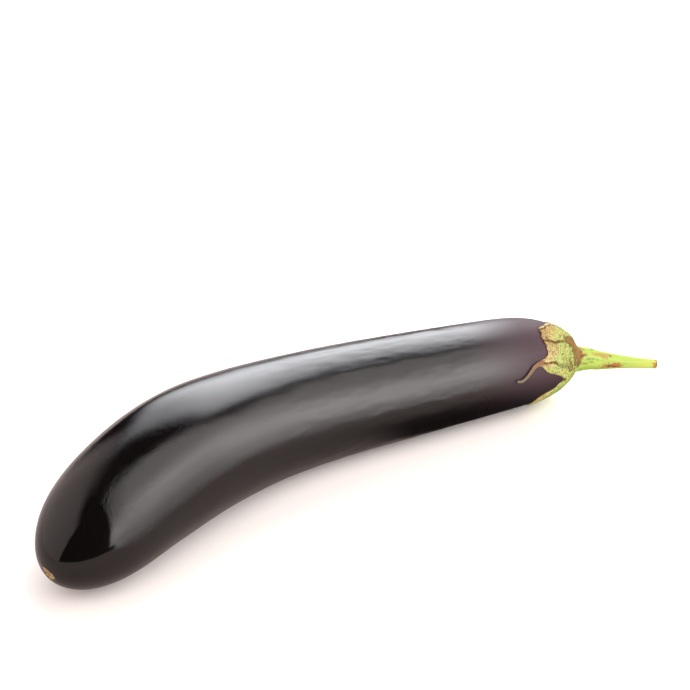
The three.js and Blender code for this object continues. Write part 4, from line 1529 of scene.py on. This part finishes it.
def cloth_grid(corners, crowding):
    """Shares across and up a four-cornered cloth, and its points, which crowd towards its lower edge."""
    share = np.linspace(0.0, 1.0, SOFTBOX_GRID)
    a, b = np.meshgrid(share, share**crowding, indexing="ij")
    low_left, low_right, high_right, high_left = np.array(corners, float)
    low = low_left + (low_right - low_left) * a[..., None]
    high = high_left + (high_right - high_left) * a[..., None]
    return a, b, low + (high - low) * b[..., None]


def at_height(on_floor, height):
    """Points on the floor, raised to a height."""
    return np.concatenate([on_floor, np.full(on_floor.shape[:2] + (1,), height)], axis=-1)


def edge_fade(a, b, fades):
    left, right, bottom, top = fades
    return ease(a / left) * ease((1 - a) / right) * ease(b / bottom) * ease((1 - b) / top)


def cloth(name, points, glow):
    """A grid of points, in millimetres, as a cloth with a glow at each point, which the lens can't see."""
    at = np.arange(SOFTBOX_GRID**2).reshape(SOFTBOX_GRID, SOFTBOX_GRID)
    quads = np.stack([at[:-1, :-1], at[1:, :-1], at[1:, 1:], at[:-1, 1:]], axis=-1).reshape(-1, 4)
    mesh = bpy.data.meshes.new(name)
    mesh.from_pydata((points.reshape(-1, 3) * MM).tolist(), [], quads.tolist())
    store(mesh, "glow", glow.ravel())
    piece = linked(name, mesh)
    piece.visible_camera = False
    piece.visible_shadow = False
    return piece


floor_mesh = bpy.data.meshes.new("floor")
reach = FLOOR_REACH * MM
floor_corners = [(-reach, -reach, 0), (reach, -reach, 0), (reach, reach, 0), (-reach, reach, 0)]
floor_mesh.from_pydata(floor_corners, [], [(0, 1, 2, 3)])
floor = linked("floor", floor_mesh)
# Pale matt paper, with hardly any shine, so that it shows only the fruit's soft shadow.
floor_material, tree = new_material("pale matt paper")
paper = add(
    tree,
    "ShaderNodeBsdfPrincipled",
    {"Base Color": linear(FLOOR_PALE), "Roughness": 0.95, "Specular IOR Level": 0.1},
)
add(tree, "ShaderNodeOutputMaterial", {"Surface": paper})
floor_mesh.materials.append(floor_material)
floor.visible_glossy = False

for softbox in SOFTBOXES:
    b, t = np.radians(softbox["bearing"]), np.radians(softbox["height"])
    facing = np.array([np.sin(b) * np.cos(t), np.cos(b) * np.cos(t), np.sin(t)])
    right = np.array([np.cos(b), -np.sin(b), 0.0])
    upward = np.cross(right, facing)
    a, b, on_plane = cloth_grid(softbox["corners"], 1)
    points = facing * SOFTBOX_DISTANCE + on_plane[..., :1] * right + on_plane[..., 1:] * upward
    off_middle = on_plane - softbox["middle_at"]
    turn = np.radians(softbox["turn"])
    lengthways = off_middle[..., 0] * np.cos(turn) + off_middle[..., 1] * np.sin(turn)
    sideways = off_middle[..., 1] * np.cos(turn) - off_middle[..., 0] * np.sin(turn)
    spread, above, below = softbox["spread"]
    sideways = np.where(sideways > 0, sideways / above, sideways / below)
    hot = np.exp(-((lengthways / spread) ** 2) - sideways**2)
    brightness = softbox["rim"] + (softbox["middle"] - softbox["rim"]) * hot
    glow = edge_fade(a, b, softbox["fades"]) * brightness
    light = cloth(softbox["name"], points, glow)
    # White cloth lit from behind: it glows most at its hot middle, and fades at its edges.
    lit_cloth, tree = new_material(softbox["name"] + " cloth")
    shine = add(tree, "ShaderNodeAttribute", attribute_name="glow").outputs["Fac"]
    lit = add(tree, "ShaderNodeEmission", {"Color": linear(softbox["tint"]), "Strength": shine})
    add(tree, "ShaderNodeOutputMaterial", {"Surface": lit})
    light.data.materials.append(lit_cloth)
    light.visible_glossy = softbox["mirrored"]

a, b, on_floor = cloth_grid(CARD_CORNERS, 2)
card_glow = CARD_NEAR + (CARD_FAR - CARD_NEAR) * ease(b / CARD_NEAR_SHARE)
card = cloth("floor_card", at_height(on_floor, CARD_HEIGHT), card_glow * edge_fade(a, b, CARD_FADES))
# Sheer lit cloth: it adds its glow to what lies under it.
card_cloth, tree = new_material("floor card cloth")
shine = add(tree, "ShaderNodeAttribute", attribute_name="glow").outputs["Fac"]
lit = add(tree, "ShaderNodeEmission", {"Color": linear(SOFTBOXES[1]["tint"]), "Strength": shine})
clear = add(tree, "ShaderNodeBsdfTransparent")
over = add(tree, "ShaderNodeAddShader", {0: clear, 1: lit})
add(tree, "ShaderNodeOutputMaterial", {"Surface": over})
card.data.materials.append(card_cloth)
card.visible_diffuse = False

a, b, on_floor = cloth_grid(FLAG_CORNERS, 1)
flag_shade = 1 - FLAG_DARKNESS * edge_fade(a, b, FLAG_FADES)
flag = cloth("flag", at_height(on_floor, FLAG_HEIGHT), flag_shade)

share = np.linspace(0.0, 1.0, SOFTBOX_GRID)
a, b = np.meshgrid(share, share, indexing="ij")
net_from, net_to = np.array(NET_LINE, float)
on_line = net_from + (net_to - net_from) * a[..., None]
net_height = NET_HEIGHTS[0] + (NET_HEIGHTS[1] - NET_HEIGHTS[0]) * b[..., None]
net_points = np.concatenate([on_line, net_height], axis=-1)
net = cloth("net", net_points, 1 - NET_THINNING * edge_fade(a, b, NET_FADES))
# Black net, and the closer weave of the flag: both only thin what is seen through them.
net_cloth, tree = new_material("black net")
passing = add(tree, "ShaderNodeAttribute", attribute_name="glow").outputs["Fac"]
thinned = add(tree, "ShaderNodeCombineColor", {0: passing, 1: passing, 2: passing})
clear = add(tree, "ShaderNodeBsdfTransparent", {"Color": thinned})
add(tree, "ShaderNodeOutputMaterial", {"Surface": clear})
for screen in (net, flag):
    screen.data.materials.append(net_cloth)
    screen.visible_diffuse = False

half = SHEET_RADIUS
sheet_corners = ((-half, -half), (half, -half), (half, half), (-half, half))
a, b, on_floor = cloth_grid(sheet_corners, 1)
sheet_glow = ease((SHEET_RADIUS - np.linalg.norm(on_floor, axis=-1)) / SHEET_FADE)
sheet = cloth("mirrored_floor", at_height(on_floor + SHEET_MIDDLE, SHEET_HEIGHT), sheet_glow)
# Grey matt paper that fades out towards its edge, so that no line shows in the skin.
sheet_material, tree = new_material("mirrored paper")
shine = add(tree, "ShaderNodeAttribute", attribute_name="glow").outputs["Fac"]
clear = add(tree, "ShaderNodeBsdfTransparent")
matt = add(tree, "ShaderNodeBsdfDiffuse", {"Color": linear(SHEET_GREY)})
fading = add(tree, "ShaderNodeMixShader", {0: shine, 1: clear, 2: matt})
add(tree, "ShaderNodeOutputMaterial", {"Surface": fading})
sheet.data.materials.append(sheet_material)
sheet.visible_diffuse = False

world = bpy.data.worlds.new("dim studio")
bpy.context.scene.world = world
world.use_nodes = True
world.cycles.sampling_method = "NONE"
world.node_tree.nodes.clear()
tree = world.node_tree
rays = add(tree, "ShaderNodeLightPath")
filled = add(
    tree,
    "ShaderNodeMapRange",
    {"Value": rays.outputs["Is Diffuse Ray"], "To Min": WORLD_DARK, "To Max": WORLD_FILL},
)
dimness = add(
    tree,
    "ShaderNodeMix",
    {0: rays.outputs["Is Camera Ray"], 2: filled, 3: BACKDROP_PALE},
    data_type="FLOAT",
)
tone = add(
    tree,
    "ShaderNodeMix",
    {0: rays.outputs["Is Camera Ray"], 6: linear(WORLD_WARM), 7: (1, 1, 1, 1)},
    data_type="RGBA",
)
air = add(tree, "ShaderNodeBackground", {"Color": tone, "Strength": dimness})
add(tree, "ShaderNodeOutputWorld", {"Surface": air})

camera_data = bpy.data.cameras.new("camera")
camera_data.sensor_width = SENSOR
camera_data.lens = SENSOR * LENS_PIXELS / PICTURE_PIXELS
camera_data.clip_start = 0.01
camera_data.clip_end = 50.0
camera = linked("camera", camera_data)
camera.location = Vector(CAMERA_PLACE) * MM
camera.rotation_euler = (np.radians(90 - CAMERA_TILT), 0.0, -np.radians(CAMERA_BEARING))
bpy.context.scene.camera = camera
bpy.context.scene.view_settings.view_transform = "Standard"
